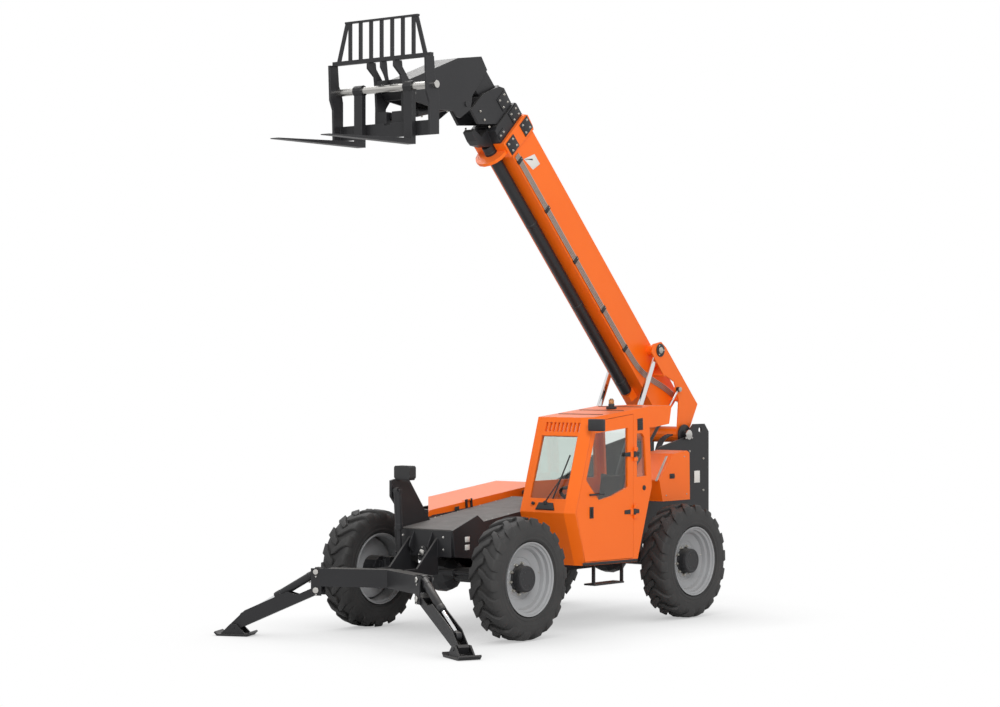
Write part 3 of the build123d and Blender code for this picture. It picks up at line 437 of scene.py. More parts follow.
# grit coating rolled on the deck: mid grey, rough, with grains of about 1 mm drawn at 4 mm
deck_grit, tree, output = blank_material("rolled_grit_deck_coating")
place = add(tree, "ShaderNodeTexCoord").outputs["Object"]
grains = add(tree, "ShaderNodeTexNoise", {"Vector": place, "Scale": 260.0, "Detail": 2.0})
scuffs = add(tree, "ShaderNodeTexNoise", {"Vector": place, "Scale": 7.0, "Detail": 6.0})
worn = add(tree, "ShaderNodeMix",
           {"Factor": scuffs.outputs["Fac"], "A": linear("#5C5958"), "B": linear("#7A7775")},
           data_type="RGBA")
relief = add(tree, "ShaderNodeBump", {"Height": grains.outputs["Fac"], "Strength": 0.5, "Distance": 0.002})
finish_tree(tree, output, {"Base Color": worn.outputs[2], "Roughness": 0.78, "Normal": relief.outputs[0]})
clad(deck_grit, "deck_panels")


def corners_of(items):
    """The vertices among what a mesh operation has made."""
    return [item for item in items if isinstance(item, bmesh.types.BMVert)]


def side_slab(bm, outline, x0, x1, ease=0.003, material=0):
    """A plate with its outline in side view (y, z) between x0 and x1, all in metres."""
    shape = bmesh.new()
    face = shape.faces.new([shape.verts.new((x0, y, z)) for y, z in outline])
    grown = bmesh.ops.extrude_face_region(shape, geom=[face])["geom"]
    bmesh.ops.translate(shape, vec=(x1 - x0, 0, 0), verts=corners_of(grown))
    merge_into(bm, shape, ease, material)


deck_slope = 0.125      # rise for each metre to the rear


def deck_z(y):
    """Height of the deck's top at the station y."""
    return 1.2 + deck_slope * (y - front_face)


# screws along both edges of each panel
bm = bmesh.new()
for y0, y1 in ((-1.40, -0.80), (-0.75, -0.11), (-0.05, 0.59)):
    for x in (-0.385, 0.385):
        for share in (0.04, 0.5, 0.96):
            y = y0 + (y1 - y0) * share
            bolt(bm, (x, y, deck_z(y)), (0, -deck_slope, 1), 0.009, 0)
piece("deck_screws", bm, "chassis", [zinc_plate])

# plate work on the front of the frame: pin plates, bolted covers and the pins' bright ends
turned_steel = metal("turned_pin_steel", "#C4C2BE", 0.26, 90.0, (1, 1, 6))
bm = bmesh.new()
for x in (-0.30, 0.30):
    for z in (0.98, 1.12):
        bolt(bm, (x, front_face - 0.001, z), (0, -1, 0), 0.012, 1)
round_bar(bm, (0, front_face + 0.012, axle_pin_z), (0, front_face - 0.016, axle_pin_z), 0.072, 40, 0.003, 0)
round_bar(bm, (0, front_face, axle_pin_z), (0, front_face - 0.032, axle_pin_z), 0.035, 32, 0.003, 1)
for index in range(3):
    angle = math.radians(90 + 120 * index)
    spot = (0.055 * math.cos(angle), front_face - 0.015, axle_pin_z + 0.055 * math.sin(angle))
    bolt(bm, spot, (0, -1, 0), 0.008, 1)
# gussets beside the axle's pin
for hand in (-1, 1):
    side_slab(bm, [(front_face, 0.93), (-1.560, 1.00), (-1.560, 1.03), (front_face, 1.18)],
              hand * 0.13, hand * 0.145, 0.002)
# boom pivot pin: a keeper plate and bolts on each side
for hand in (-1, 1):
    x = hand * (frame_side + 0.015)
    round_bar(bm, (x, boom_pivot_y, boom_pivot_z), (x + hand * 0.018, boom_pivot_y, boom_pivot_z),
              0.062, 36, 0.003, 1)
    side_slab(bm, [(2.97, 2.10), (3.13, 2.10), (3.13, 2.14), (2.97, 2.14)], x, x + hand * 0.012, 0.002)
    for y in (2.985, 3.115):
        bolt(bm, (x + hand * 0.012, y, 2.12), (hand, 0, 0), 0.010, 1)
    # feet of the lift cylinders
    round_bar(bm, (hand * 0.436, 1.3, 0.75), (hand * 0.452, 1.3, 0.75), 0.045, 32, 0.003, 1)
piece("frame_pins_and_covers", bm, "chassis", [black_enamel, turned_steel])

# rounded rubber rest for the boom, moulded with a fine grain
moulded_rubber, tree, output = blank_material("moulded_black_rubber")
place = add(tree, "ShaderNodeTexCoord").outputs["Object"]
grain = add(tree, "ShaderNodeTexNoise", {"Vector": place, "Scale": 300.0, "Detail": 2.0})
soft = add(tree, "ShaderNodeBevel", {"Radius": 0.012}, samples=6)
relief = add(tree, "ShaderNodeBump", {"Height": grain.outputs["Fac"], "Strength": 0.2, "Distance": 0.001,
             "Normal": soft.outputs[0]})
finish_tree(tree, output, {"Base Color": linear("#2B2B2C"), "Roughness": 0.7, "Normal": relief.outputs[0]})
clad(moulded_rubber, "boom_rest_pad")

# ---------------------------------------------------------------- telescoping boom
# Four nested box sections of folded plate. The outer one is orange, the others are black; each
# ends in a bolted collar that holds the wear pads on which the next slides.
orange_enamel = enamel("gloss_orange_enamel", "#FF7414", "#FA6C10", 0.38, 0.06, "#FF9148")
clad(orange_enamel, "boom_outer")
clad(black_enamel, "boom_section_2", "boom_collar_2", "boom_section_3", "boom_collar_3", "boom_fly",
     "boom_gooseneck")

boom_cos, boom_sin = math.cos(boom_angle), math.sin(boom_angle)
boom_side = 0.200              # outer face of the outer section
extension_drop = -0.128        # the extension cylinder's axis, square to the boom's line


def on_boom(along, square, x):
    """A point given along the boom from its pivot and square to it, in metres."""
    return Vector((x, boom_pivot_y - along * boom_cos + square * boom_sin,
                   boom_pivot_z + along * boom_sin + square * boom_cos))


def boom_slab(bm, outline, x0, x1, ease=0.003, material=0):
    """A plate with its outline (along, square) between x0 and x1."""
    points = [on_boom(along, square, 0) for along, square in outline]
    side_slab(bm, [(point.y, point.z) for point in points], x0, x1, ease, material)


# bolts of the pad holders on the collars, both sides: along, square
collar_bolts = [
    # body, half width, thread, bolts
    ("boom_outer", 0.228, 0.013,
     [(4.66, 0.40), (4.76, 0.41), (4.66, 0.30), (4.76, 0.31),
      (4.66, -0.03), (4.76, -0.04), (4.66, 0.07), (4.76, 0.06)]),
    ("boom_section_2", 0.192, 0.012,
     [(4.88, 0.38), (4.96, 0.38), (4.88, 0.27), (4.96, 0.27), (4.90, 0.02), (4.90, -0.05)]),
    ("boom_section_3", 0.168, 0.012,
     [(5.09, 0.34), (5.19, 0.35), (5.09, 0.24), (5.19, 0.24), (5.09, -0.12), (5.20, -0.13), (5.32, -0.12)]),
]
holder_bands = ((0.22, 0.43), (-0.07, 0.09))     # the upper and lower pad holders, square to the boom
holder_edge = 0.035                              # from a holder's outer bolts to its edge
for body, half, thread, spots in collar_bolts:
    bm = bmesh.new()
    for hand in (-1, 1):
        for square0, square1 in holder_bands:
            inside = [spot for spot in spots if square0 < spot[1] < square1]
            if inside:
                a0, n0 = [min(spot[axis] for spot in inside) - holder_edge for axis in (0, 1)]
                a1, n1 = [max(spot[axis] for spot in inside) + holder_edge for axis in (0, 1)]
                boom_slab(bm, [(a0, n0), (a1, n0), (a1, n1), (a0, n1)],
                          hand * half, hand * (half + 0.010), 0.002)
        for along, square in spots:
            bolt(bm, on_boom(along, square, hand * (half + 0.009)), (hand, 0, 0), thread, 1)
    piece(body + "_pad_bolts", bm, body, [black_enamel, zinc_plate])

# angle gauge: a blank white dial with a dark pointer on each side of the outer section
ivory_print = enamel("white_printed_plate", "#E9E7E2", "#DEDCD6", 0.4, 0.2, "#FFFFFF")
bm = bmesh.new()
for hand in (-1, 1):
    boom_slab(bm, [(4.433, 0.092), (4.350, 0.284), (4.198, 0.283), (4.233, 0.135)],
              hand * boom_side, hand * (boom_side + 0.003), 0.001, 0)
    boom_slab(bm, [(4.425, 0.100), (4.335, 0.215), (4.320, 0.205)],
              hand * (boom_side + 0.003), hand * (boom_side + 0.006), 0.0005, 1)
    bolt(bm, on_boom(4.405, 0.118, hand * (boom_side + 0.005)), (hand, 0, 0), 0.007, 2)
piece("boom_angle_gauge", bm, "boom_outer", [ivory_print, black_enamel, zinc_plate])

# ---------------------------------------------------------------- hydraulic cylinders
# Honed tube barrels in black enamel with screwed glands, and hard-chromed rods that end in
# forged eyes.
hard_chrome = metal("hard_chromed_rod", "#D9DADB", 0.12, 120.0, (1, 1, 0.2))
cylinders = [
    # name before and after "barrel" or "rod", barrel radius, length, rod radius, rod length,
    # pin to pin, base eye, rod eye, eye width
    ("lift_", "_left", 0.050, 1.600, 0.036, 1.700, 2.7775, 0.060, 0.056, 0.060),
    ("lift_", "_right", 0.050, 1.600, 0.036, 1.700, 2.7775, 0.060, 0.056, 0.060),
    ("level_", "", 0.020, 0.860, 0.012, 0.800, 1.3992, 0.031, 0.031, 0.036),
    ("tilt_", "", 0.048, 0.700, 0.026, 0.640, 1.0571, 0.051, 0.043, 0.070),
    ("outrigger_", "_left", 0.046, 0.580, 0.028, 0.560, 1.0201, 0.050, 0.044, 0.060),
    ("outrigger_", "_right", 0.046, 0.580, 0.028, 0.560, 1.0201, 0.050, 0.044, 0.060),
]
joints = {joint["child"]: joint for joint in frame["record"]["behaviour"]["joints"]}
for before, after, radius, length, rod_radius, rod_length, reach, base_eye, rod_eye, width in cylinders:
    barrel_name, rod_name = before + "barrel" + after, before + "rod" + after
    base = Vector(joints[barrel_name]["pos_m"])
    along = Vector(joints[rod_name]["axis"]).normalized()
    pin = Vector(joints[barrel_name]["axis"]).normalized()
    top = base + along * reach
    bm = bmesh.new()
    round_bar(bm, base + along * base_eye * 0.4, base + along * length, radius, 48, 0.002)
    for start, end in ((0.10, 0.13), (length - 0.075, length - 0.012)):
        round_bar(bm, base + along * start, base + along * end, radius + 0.003, 48, 0.002)
    round_bar(bm, base - pin * width / 2, base + pin * width / 2, base_eye, 40, 0.003)
    # the two ports, on all but the thin levelling cylinder
    side_way = along.cross(pin).normalized()
    if radius > 0.03:
        for at in (0.15, length - 0.10):
            port = base + along * at
            round_bar(bm, port, port + side_way * (radius + 0.016), 0.012, 16, 0.002, 1)
    made = piece(barrel_name + "_honed", bm, barrel_name, [black_enamel, zinc_plate])
    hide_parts(barrel_name)
    bm = bmesh.new()
    round_bar(bm, top - along * rod_length, top - along * rod_eye * 0.8, rod_radius, 40, 0.002, 0)
    round_bar(bm, top - along * (rod_eye + rod_radius * 0.5), top - along * rod_eye * 0.5,
              rod_radius * 1.25, 32, 0.003, 1)
    round_bar(bm, top - pin * width / 2, top + pin * width / 2, rod_eye, 40, 0.003, 1)
    made = piece(rod_name + "_chromed", bm, rod_name, [hard_chrome, black_enamel])
    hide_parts(rod_name)
# the extension cylinder under the boom, with bands along its barrel
bm = bmesh.new()
round_bar(bm, on_boom(0.875, extension_drop, 0), on_boom(4.829, extension_drop, 0), 0.070, 48, 0.002)
for along in (1.02, 2.3, 3.6, 4.70):
    round_bar(bm, on_boom(along, extension_drop, 0), on_boom(along + 0.05, extension_drop, 0),
              0.073, 48, 0.002)
made = piece("extension_barrel_honed", bm, "boom_section_2", [black_enamel])
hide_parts("extension_barrel")
clad(hard_chrome, "extension_rod")
clad(black_enamel, "sway_cylinder")

# ---------------------------------------------------------------- fork carriage and forks
# A welded carriage with a tined load guard; two forged forks hang from its turned shaft.
clad(black_enamel, "fork_carriage", "fork_left", "fork_right")
clad(turned_steel, "fork_shaft")
tilt_axis_y, tilt_axis_z = -1.900, 6.060
tilt_cylinder_y, tilt_cylinder_z = -1.96, 5.80
bm = bmesh.new()
for hand in (-1, 1):
    round_bar(bm, (hand * 0.209, tilt_axis_y, tilt_axis_z), (hand * 0.222, tilt_axis_y, tilt_axis_z),
              0.050, 32, 0.003, 1)
    # the keeper that stops the pin from turning
    side_slab(bm, [(-1.975, 6.015), (-1.945, 5.995), (-1.925, 6.04), (-1.955, 6.06)],
              hand * 0.210, hand * 0.218, 0.002)
    bolt(bm, (hand * 0.217, -1.952, 6.025), (hand, 0, 0), 0.009, 1)
for hand in (-1, 1):
    round_bar(bm, (hand * 0.064, tilt_cylinder_y, tilt_cylinder_z),
              (hand * 0.078, tilt_cylinder_y, tilt_cylinder_z), 0.036, 28, 0.003, 1)
piece("carriage_pins", bm, "fork_carriage", [black_enamel, turned_steel])

# ---------------------------------------------------------------- outriggers
# Two box legs hinged on the front beam, each pushed down by a short cylinder, on swivelling feet.
clad(black_enamel, "outrigger_leg_left", "outrigger_leg_right", "outrigger_foot_left", "outrigger_foot_right")
leg_sweep = math.radians(25)       # how far forward of straight out each leg points
bm = bmesh.new()
for hand in (-1, 1):
    across = Vector((-hand * math.sin(leg_sweep), -math.cos(leg_sweep), 0))
    pivot = Vector((hand * 0.785, -2.360, 0.535))
    for rise, size in ((0, 0.034), (0.205, 0.030)):
        for end in (-1, 1):
            spot = pivot + Vector((0, 0, rise)) + across * end * 0.084
            round_bar(bm, spot, spot + across * end * 0.014, size, 32, 0.003, 1)
            bolt(bm, spot + across * end * 0.002 + Vector((0, 0, -0.052)), across * end, 0.009, 1)
piece("outrigger_beam_pins", bm, "chassis", [black_enamel, turned_steel])

# ---------------------------------------------------------------- cab
# A cab of folded and welded sheet in orange enamel, with bonded tinted glass in black rubber
# gaskets, a hinged door and grained plastic inside.
clad(orange_enamel, "cab_shell", "cab_door", "engine_hood", "side_tank")

# tinted toughened glass: thin, faintly grey-green, with sharp reflections
tinted_glass, tree, output = blank_material("tinted_toughened_glass")
clear = add(tree, "ShaderNodeBsdfTransparent", {"Color": linear("#F0F4F2")})
mirrored_sky = add(tree, "ShaderNodeBsdfGlossy", {"Color": linear("#FFFFFF"), "Roughness": 0.02})
facing = add(tree, "ShaderNodeLayerWeight", {"Blend": 0.5})
lean = add(tree, "ShaderNodeMapRange", {"Value": facing.outputs["Facing"], 1: 0.3, 2: 1.0, 3: 0.03, 4: 0.45})
pane = add(tree, "ShaderNodeMixShader", {0: lean.outputs[0], 1: clear.outputs[0], 2: mirrored_sky.outputs[0]})
tree.links.new(pane.outputs[0], output.inputs["Surface"])
clad(tinted_glass, "cab_glass", "door_glass")

# black plastic moulded with a leather grain of about 1 mm, drawn at 3 mm
grained_plastic, tree, output = blank_material("grained_black_plastic")
place = add(tree, "ShaderNodeTexCoord").outputs["Object"]
grain = add(tree, "ShaderNodeTexVoronoi", {"Vector": place, "Scale": 330.0})
soft = add(tree, "ShaderNodeBevel", {"Radius": 0.008}, samples=6)
relief = add(tree, "ShaderNodeBump", {"Height": grain.outputs["Distance"], "Strength": 0.15,
             "Distance": 0.001, "Normal": soft.outputs[0]})
finish_tree(tree, output, {"Base Color": linear("#29292B"), "Roughness": 0.55, "Normal": relief.outputs[0]})
clad(grained_plastic, "cab_controls", "mirror", "beacon", "engine_block")


def gasket(bm, outline, place_of, outward, width=0.022, height=0.006, material=0):
    """A rubber strip laid round an outline: the ring between it and its inset, raised outward."""
    shape = bmesh.new()
    face = shape.faces.new([shape.verts.new(place_of(u, v)) for u, v in outline])
    shape.normal_update()
    ring = bmesh.ops.inset_region(shape, faces=[face], thickness=width, use_even_offset=True)["faces"]
    bmesh.ops.delete(shape, geom=[item for item in shape.faces if item not in ring], context="FACES")
    grown = bmesh.ops.extrude_face_region(shape, geom=shape.faces[:])["geom"]
    bmesh.ops.translate(shape, vec=Vector(outward) * height, verts=corners_of(grown))
    merge_into(bm, shape, 0.0015, material)


def on_door(y, z):
    """A point on the outer face of the cab's door wall."""
    return Vector((cab_side, y, z))


# outlines in side view
door_window = [(0.145, 2.260), (0.770, 2.310), (0.770, 1.620), (0.470, 1.530), (0.210, 1.490),
               (-0.030, 1.730)]
door_edge = [(0.115, 2.390), (0.870, 2.465), (0.870, 0.790), (-0.045, 0.800), (-0.215, 1.370)]
quarter_window = [(0.945, 2.240), (1.050, 2.240), (1.098, 2.190), (1.140, 1.740), (0.945, 1.730)]

bm = bmesh.new()
gasket(bm, door_window, on_door, (1, 0, 0), 0.026, 0.007)
gasket(bm, door_edge, on_door, (1, 0, 0), 0.008, 0.003)
# the handle on its plate: a grip on two posts
side_slab(bm, [(0.03, 1.290), (0.10, 1.290), (0.10, 1.420), (0.03, 1.420)],
          cab_side + 0.0005, cab_side + 0.0085, 0.003)
handle_y, grip_x = 0.065, cab_side + 0.021
round_bar(bm, (grip_x, handle_y, 1.305), (grip_x, handle_y, 1.405), 0.010, 20, 0.003)
for z in (1.312, 1.398):
    round_bar(bm, (cab_side + 0.005, handle_y, z), (cab_side + 0.024, handle_y, z), 0.009, 16, 0.002)
# black straps over the hinges
for z in hinge_heights:
    side_slab(bm, [(0.700, z - 0.022), (0.866, z - 0.028), (0.866, z + 0.028), (0.700, z + 0.022)],
              cab_skin, cab_side + 0.008, 0.002)
    round_bar(bm, (cab_side + 0.014, 0.880, z - 0.034), (cab_side + 0.014, 0.880, z + 0.034),
              0.0165, 24, 0.002)
# the grab rail across the window
round_bar(bm, (cab_side + 0.015, 0.02, 1.560), (cab_side + 0.015, 0.30, 1.560), 0.011, 20, 0.003)
piece("door_trim", bm, "cab_door", [moulded_rubber])

screen_slope = math.atan2(1.08, 0.34)          # the front leans back 0.34 m over 1.08 m of height
knee_y, knee_z = -0.290, 1.360                 # where the slanted front meets the cab's nose


def on_screen(x, up):
    """A point on the slanted front of the cab, up from its knee."""
    return Vector((x, knee_y + up * math.cos(screen_slope) - 0.002 * math.sin(screen_slope),
                   knee_z + up * math.sin(screen_slope)))


bm = bmesh.new()
outward = Vector((0, -math.sin(screen_slope), math.cos(screen_slope)))
gasket(bm, [(0.520, 0.145), (1.080, 0.145), (1.080, 0.930), (0.520, 0.930)], on_screen, outward, 0.022, 0.008)
gasket(bm, quarter_window, on_door, (1, 0, 0), 0.018, 0.006)
# black cover of the wiper motor under the windscreen
lofted(bm, [[on_screen(x, up) for x, up in ((0.66, 0.028), (0.94, 0.028), (0.90, 0.118), (0.70, 0.118))],
            [on_screen(x, up) + outward * 0.02 for x, up in ((0.67, 0.034), (0.93, 0.034), (0.895, 0.112),
                                                             (0.705, 0.112))]], 0.003)
# wiper: motor cap, arm and blade over the windscreen
hub = on_screen(0.80, 0.11)
round_bar(bm, hub, hub + outward * 0.035, 0.022, 24, 0.003)
round_bar(bm, hub + outward * 0.030, on_screen(0.98, 0.42) + outward * 0.030, 0.007, 12, 0.002)
round_bar(bm, on_screen(0.90, 0.16) + outward * 0.022, on_screen(1.03, 0.68) + outward * 0.022,
          0.009, 12, 0.002)
# cap of the second wiper's spindle
hub = on_screen(0.62, 0.10)
round_bar(bm, hub, hub + outward * 0.030, 0.018, 24, 0.003)
# fixed halves of the hinges, a black cap and the louvred vent on the cab's side
for z in hinge_heights:
    side_slab(bm, [(0.896, z - 0.026), (0.985, z - 0.022), (0.985, z + 0.022), (0.896, z + 0.026)],
              cab_skin, cab_side + 0.007, 0.002)
round_bar(bm, (cab_side - 0.001, 1.085, 1.600), (cab_side + 0.008, 1.085, 1.600), 0.030, 28, 0.003)
side_slab(bm, [(0.955, 2.275), (1.060, 2.280), (1.055, 2.420), (0.950, 2.410)],
          cab_skin, cab_side + 0.006, 0.002)
louvre_count, louvre_pitch = 5, 0.024
for step in range(louvre_count):
    z = 2.295 + louvre_pitch * step
    side_slab(bm, [(0.965, z), (1.048, z + 0.002), (1.048, z + 0.012), (0.965, z + 0.010)],
              cab_side + 0.004, cab_side + 0.010, 0.002)
# black sill along the cab's foot, roof seams and the beacon's pad
side_slab(bm, [(-0.092, 0.757), (0.948, 0.742), (0.960, 0.775), (-0.100, 0.790)],
          cab_side - 0.001, cab_side + 0.003, 0.001)
for y in (0.35, 0.75, 1.12):
    z = 2.440 + (y - 0.05) * 0.11 / 1.13
    round_bar(bm, (0.50, y, z), (1.15, y, z), 0.006, 12, 0.001)
round_bar(bm, (beacon_x, beacon_y, 2.52), (beacon_x, beacon_y, 2.552), 0.062, 36, 0.004)
piece("cab_seals_and_wiper", bm, "chassis", [moulded_rubber])

# ---------------------------------------------------------------- boom pipes, hoses and pin ends
# Zinc-plated pipes are clipped along the outer section; hoses stand in a curve at its pivot.

# braided hose cover: black rubber with a weave of under 1 mm, drawn at 2 mm
hose_rubber, tree, output = blank_material("braided_hose_cover")
place = add(tree, "ShaderNodeTexCoord").outputs["Object"]
weave = add(tree, "ShaderNodeTexNoise", {"Vector": place, "Scale": 500.0, "Detail": 1.0})
relief = add(tree, "ShaderNodeBump", {"Height": weave.outputs["Fac"], "Strength": 0.2, "Distance": 0.001})
finish_tree(tree, output, {"Base Color": linear("#262628"), "Roughness": 0.5, "Normal": relief.outputs[0]})


def line_of(name, points, radius, body, material):
    """A pipe or hose held at both ends, as a smooth curve through its clips."""
    curve = bpy.data.curves.new(name, "CURVE")
    curve.dimensions = "3D"
    curve.bevel_depth = radius
    curve.bevel_resolution = 4
    curve.resolution_u = 10
    curve.use_fill_caps = True
    spline = curve.splines.new("NURBS")
    spline.points.add(len(points) - 1)
    for point, place_at in zip(spline.points, points):
        point.co = (*place_at, 1)
    spline.order_u = 3
    spline.use_endpoint_u = True
    curve.materials.append(material)
    made = bpy.data.objects.new(name, curve)
    scene.collection.objects.link(made)
    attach(made, body)
    return made


# along the boom, square to it
pipe_route = [(4.56, -0.02), (3.20, -0.02), (1.956, -0.02), (1.354, -0.01), (1.05, 0.02), (0.80, 0.12),
              (0.60, 0.22), (0.40, 0.30), (0.22, 0.36)]
line_count, line_pitch = 4, 0.022
for index in range(line_count):
    shift = line_pitch * index
    points = [on_boom(along, square + shift, boom_side + 0.011) for along, square in pipe_route]
    line_of("boom_pipe_" + str(index + 1), points, 0.0075, "boom_outer", zinc_plate)
bm = bmesh.new()
for along in (4.45, 3.7, 2.9, 2.1, 1.45):
    boom_slab(bm, [(along, -0.035), (along + 0.05, -0.035), (along + 0.05, 0.062), (along, 0.062)],
              boom_side, boom_side + 0.022, 0.003)
    bolt(bm, on_boom(along + 0.025, 0.047, boom_side + 0.021), (1, 0, 0), 0.006, 1)
piece("boom_pipe_clips", bm, "boom_outer", [black_enamel, zinc_plate])
for index in range(line_count):
    x = 0.25 + line_pitch * index
    line_of("pivot_hose_" + str(index + 1),
            [(x, 2.62 + 0.02 * index, 1.62), (x, 2.60, 1.85), (x, 2.66, 2.05), (x, 2.78, 2.14),
             (x, 2.90, 2.16)], 0.011, "chassis", hose_rubber)

# ends of the boom's pins: clevis faces, washers and nuts on the wings
bm = bmesh.new()
for hand in (-1, 1):
    eye = on_boom(1.100, 0.378, hand * 0.364)
    round_bar(bm, eye, eye + Vector((hand * 0.012, 0, 0)), 0.082, 40, 0.003, 0)
    round_bar(bm, eye, eye + Vector((hand * 0.020, 0, 0)), 0.040, 32, 0.003, 1)
    for index in range(3):
        angle = math.radians(120 * index)
        spot = eye + Vector((hand * 0.012, 0.062 * math.cos(angle), 0.062 * math.sin(angle)))
        bolt(bm, spot, (hand, 0, 0), 0.009, 1)
    round_bar(bm, on_boom(0, 0, hand * 0.380), on_boom(0, 0, hand * 0.402), 0.128, 48, 0.004, 0)
eye = on_boom(0.500, 0.300, 0.412)
round_bar(bm, eye, eye + Vector((0.012, 0, 0)), 0.030, 28, 0.002, 1)
piece("boom_pin_ends", bm, "boom_outer", [black_enamel, zinc_plate])

# ---------------------------------------------------------------- seat
# A sprung seat: two foam pads in dark woven cloth, on a riser with a folded rubber gaiter.
woven_cloth, tree, output = blank_material("woven_polyester_seat_cloth")
place = add(tree, "ShaderNodeTexCoord").outputs["Object"]
threads = add(tree, "ShaderNodeTexWave", {"Vector": place, "Scale": 180.0, "Distortion": 0.4},
              wave_type="BANDS", bands_direction="X")
cross_threads = add(tree, "ShaderNodeTexWave", {"Vector": place, "Scale": 180.0, "Distortion": 0.4},
                    wave_type="BANDS", bands_direction="Y")
cloth_height = add(tree, "ShaderNodeMath", {0: threads.outputs["Fac"], 1: cross_threads.outputs["Fac"]},
                   operation="MULTIPLY")
tone = add(tree, "ShaderNodeMix",
           {"Factor": cloth_height.outputs[0], "A": linear("#232326"), "B": linear("#3A3A3E")},
           data_type="RGBA")
relief = add(tree, "ShaderNodeBump", {"Height": cloth_height.outputs[0], "Strength": 0.3, "Distance": 0.001})
finish_tree(tree, output, {"Base Color": tone.outputs[2], "Roughness": 0.85, "Sheen Weight": 0.3,
                           "Normal": relief.outputs[0]})


cloth_steps = 16         # frames that the cloth is simulated for
most_swelling = 0.022    # how far the cloth may leave the pad's own shape


def stuffed(name, outline, x0, x1):
    """A foam pad: its side outline given width, remeshed, then swollen as cloth under pressure."""
    bm = bmesh.new()
    side_slab(bm, outline, x0, x1, 0.020)
    made = piece(name, bm, "chassis", [woven_cloth], 80)
    mesh_grid = made.modifiers.new("grid", "REMESH")
    mesh_grid.mode = "VOXEL"
    mesh_grid.voxel_size = 0.007
    bpy.context.view_layer.objects.active = made
    bpy.ops.object.modifier_apply(modifier="grid")
    before = [vert.co.copy() for vert in made.data.vertices]
    cloth = made.modifiers.new("cloth", "CLOTH")
    cloth.settings.use_pressure = True
    cloth.settings.uniform_pressure_force = 4
    cloth.settings.effector_weights.gravity = 0
    for step in range(1, cloth_steps + 1):
        scene.frame_set(step)
    bpy.ops.object.modifier_apply(modifier="cloth")
    for vert, start in zip(made.data.vertices, before):
        move = vert.co - start
        if move.length > most_swelling:
            vert.co = start + move.normalized() * most_swelling
    scene.frame_set(1)
    finish = made.modifiers.new("finish", "SUBSURF")
    finish.levels = finish.render_levels = 1
    made.data.shade_smooth()
    return made


cushion = stuffed("seat_cushion", [(0.42, 1.095), (0.87, 1.085), (0.87, 1.180), (0.42, 1.185)], 0.645, 1.035)
backrest = stuffed("seat_backrest", [(0.835, 1.225), (0.885, 1.225), (0.990, 1.755), (0.945, 1.770)],
                   0.655, 1.025)
# box of the riser, the seat pan, the gaiter's folds and the backrest's bracket
bm = bmesh.new()
side_slab(bm, [(0.45, 0.812), (0.87, 0.806), (0.85, 1.060), (0.47, 1.060)], 0.680, 1.000, 0.010)
side_slab(bm, [(0.40, 1.055), (0.89, 1.055), (0.89, 1.082), (0.40, 1.082)], 0.650, 1.030, 0.006)
for z in (0.86, 0.91, 0.96, 1.01):
    side_slab(bm, [(0.442, z), (0.878, z), (0.878, z + 0.02), (0.442, z + 0.02)], 0.672, 1.008, 0.006)
side_slab(bm, [(0.885, 1.08), (0.898, 1.08), (0.925, 1.30), (0.905, 1.30)], 0.80, 0.88, 0.003)
riser = piece("seat_riser", bm, "chassis", [moulded_rubber])
for part in (cushion, backrest, riser):
    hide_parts("cab_seat")

# ---------------------------------------------------------------- beacon, mirror and small fittings
# A flashing beacon with an amber lens on a dark base, a mirror in a plastic case, and the
# tank's and the hood's fittings.
amber_lens, tree, output = blank_material("ribbed_polycarbonate_lens")
place = add(tree, "ShaderNodeTexCoord").outputs["Object"]
ribs_wave = add(tree, "ShaderNodeTexWave", {"Vector": place, "Scale": 60.0}, wave_type="BANDS",
                bands_direction="Z")
relief = add(tree, "ShaderNodeBump", {"Height": ribs_wave.outputs["Fac"], "Strength": 0.4, "Distance": 0.002})
finish_tree(tree, output, {"Base Color": linear("#D9A05A"), "Roughness": 0.15, "Transmission Weight": 0.5,
                           "IOR": 1.58, "Normal": relief.outputs[0]})
bm = bmesh.new()
for z0, z1, radius, ease, material in ((2.536, 2.585, 0.036, 0.004, 0), (2.580, 2.636, 0.032, 0.010, 1),
                                       (2.630, 2.645, 0.020, 0.004, 0)):
    round_bar(bm, (beacon_x, beacon_y, z0), (beacon_x, beacon_y, z1), radius, 36, ease, material)
lamp_body = piece("beacon_lamp", bm, "chassis", [grained_plastic, amber_lens])
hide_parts("beacon")

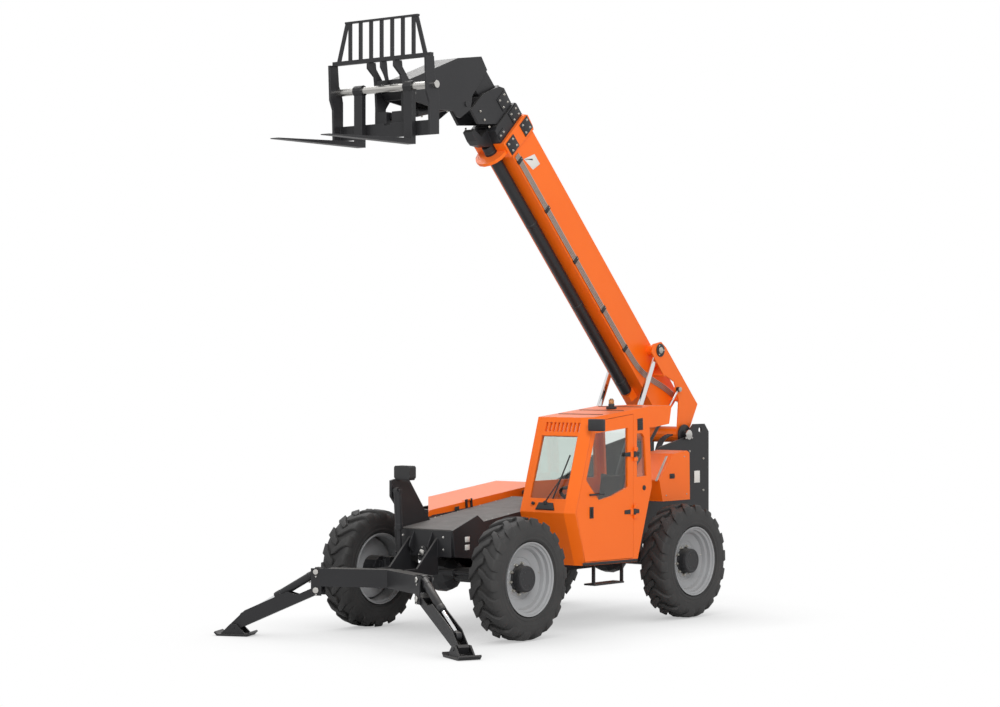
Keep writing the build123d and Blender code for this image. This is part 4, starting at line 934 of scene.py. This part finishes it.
mirror_glass = metal("silvered_mirror_glass", "#E6E9EA", 0.03, 20.0, (1, 1, 1))
bm = bmesh.new()
side_slab(bm, [(-0.035, 2.292), (0.006, 2.290), (0.006, 2.430), (-0.035, 2.428)], 1.224, 1.450, 0.012, 0)
side_slab(bm, [(0.006, 2.302), (0.0095, 2.302), (0.0095, 2.418), (0.006, 2.418)], 1.236, 1.438, 0.001, 1)
round_bar(bm, (1.198, 0.095, mirror_arm_z), (1.222, 0.095, mirror_arm_z), 0.019, 24, 0.003, 0)
round_bar(bm, (1.216, 0.105, mirror_arm_z), (1.228, -0.012, mirror_arm_z), 0.010, 20, 0.003, 0)
round_bar(bm, (1.220, -0.012, mirror_arm_z), (1.240, -0.012, mirror_arm_z), 0.014, 20, 0.003, 0)
arm = piece("mirror_cased", bm, "chassis", [grained_plastic, mirror_glass])
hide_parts("mirror")

# the tank cover's latch, bolts and rail, and bolts and blank plates on the frame's side
bm = bmesh.new()
side_slab(bm, [(2.02, 1.66), (2.12, 1.66), (2.12, 1.72), (2.02, 1.72)],
          tank_side, tank_side + 0.008, 0.004, 0)
round_bar(bm, (tank_side + 0.014, 2.03, 1.69), (tank_side + 0.014, 2.11, 1.69), 0.006, 16, 0.002, 0)
for y, z in ((1.95, 1.46), (2.38, 1.46), (2.33, 1.92)):
    bolt(bm, (tank_side, y, z), (1, 0, 0), 0.008, 1)
for y, z in ((3.40, 1.85), (3.40, 1.45), (3.10, 1.95)):
    bolt(bm, (frame_side, y, z), (1, 0, 0), 0.012, 1)
for y, z, width, height, thickness in ((3.20, 1.55, 0.12, 0.15, 0.003), (-1.27, 1.06, 0.08, 0.06, 0.002),
                                       (-1.27, 0.97, 0.08, 0.06, 0.002)):
    side_slab(bm, [(y, z), (y + width, z), (y + width, z + height), (y, z + height)],
              frame_side, frame_side + thickness, 0.001, 2)
side_slab(bm, [(1.93, 1.94), (1.95, 1.935), (1.73, 1.64), (1.71, 1.645)],
          tank_side + 0.005, tank_side + 0.025, 0.003, 1)
piece("side_fittings", bm, "chassis", [moulded_rubber, zinc_plate, ivory_print])

# the hood's seal and its two latches
bm = bmesh.new()
side_slab(bm, [(-0.86, 1.296), (1.245, 1.452), (1.245, 1.464), (-0.86, 1.308)], -0.4125, -0.409, 0.001, 0)
for y in (-0.45, 0.80):
    z = 1.365 + (y + 0.845) * 0.1122 - 0.07
    side_slab(bm, [(y, z), (y + 0.07, z + 0.006), (y + 0.07, z + 0.05), (y, z + 0.044)],
              -0.4145, -0.402, 0.003, 0)
piece("hood_seal_and_latches", bm, "engine_hood", [moulded_rubber])
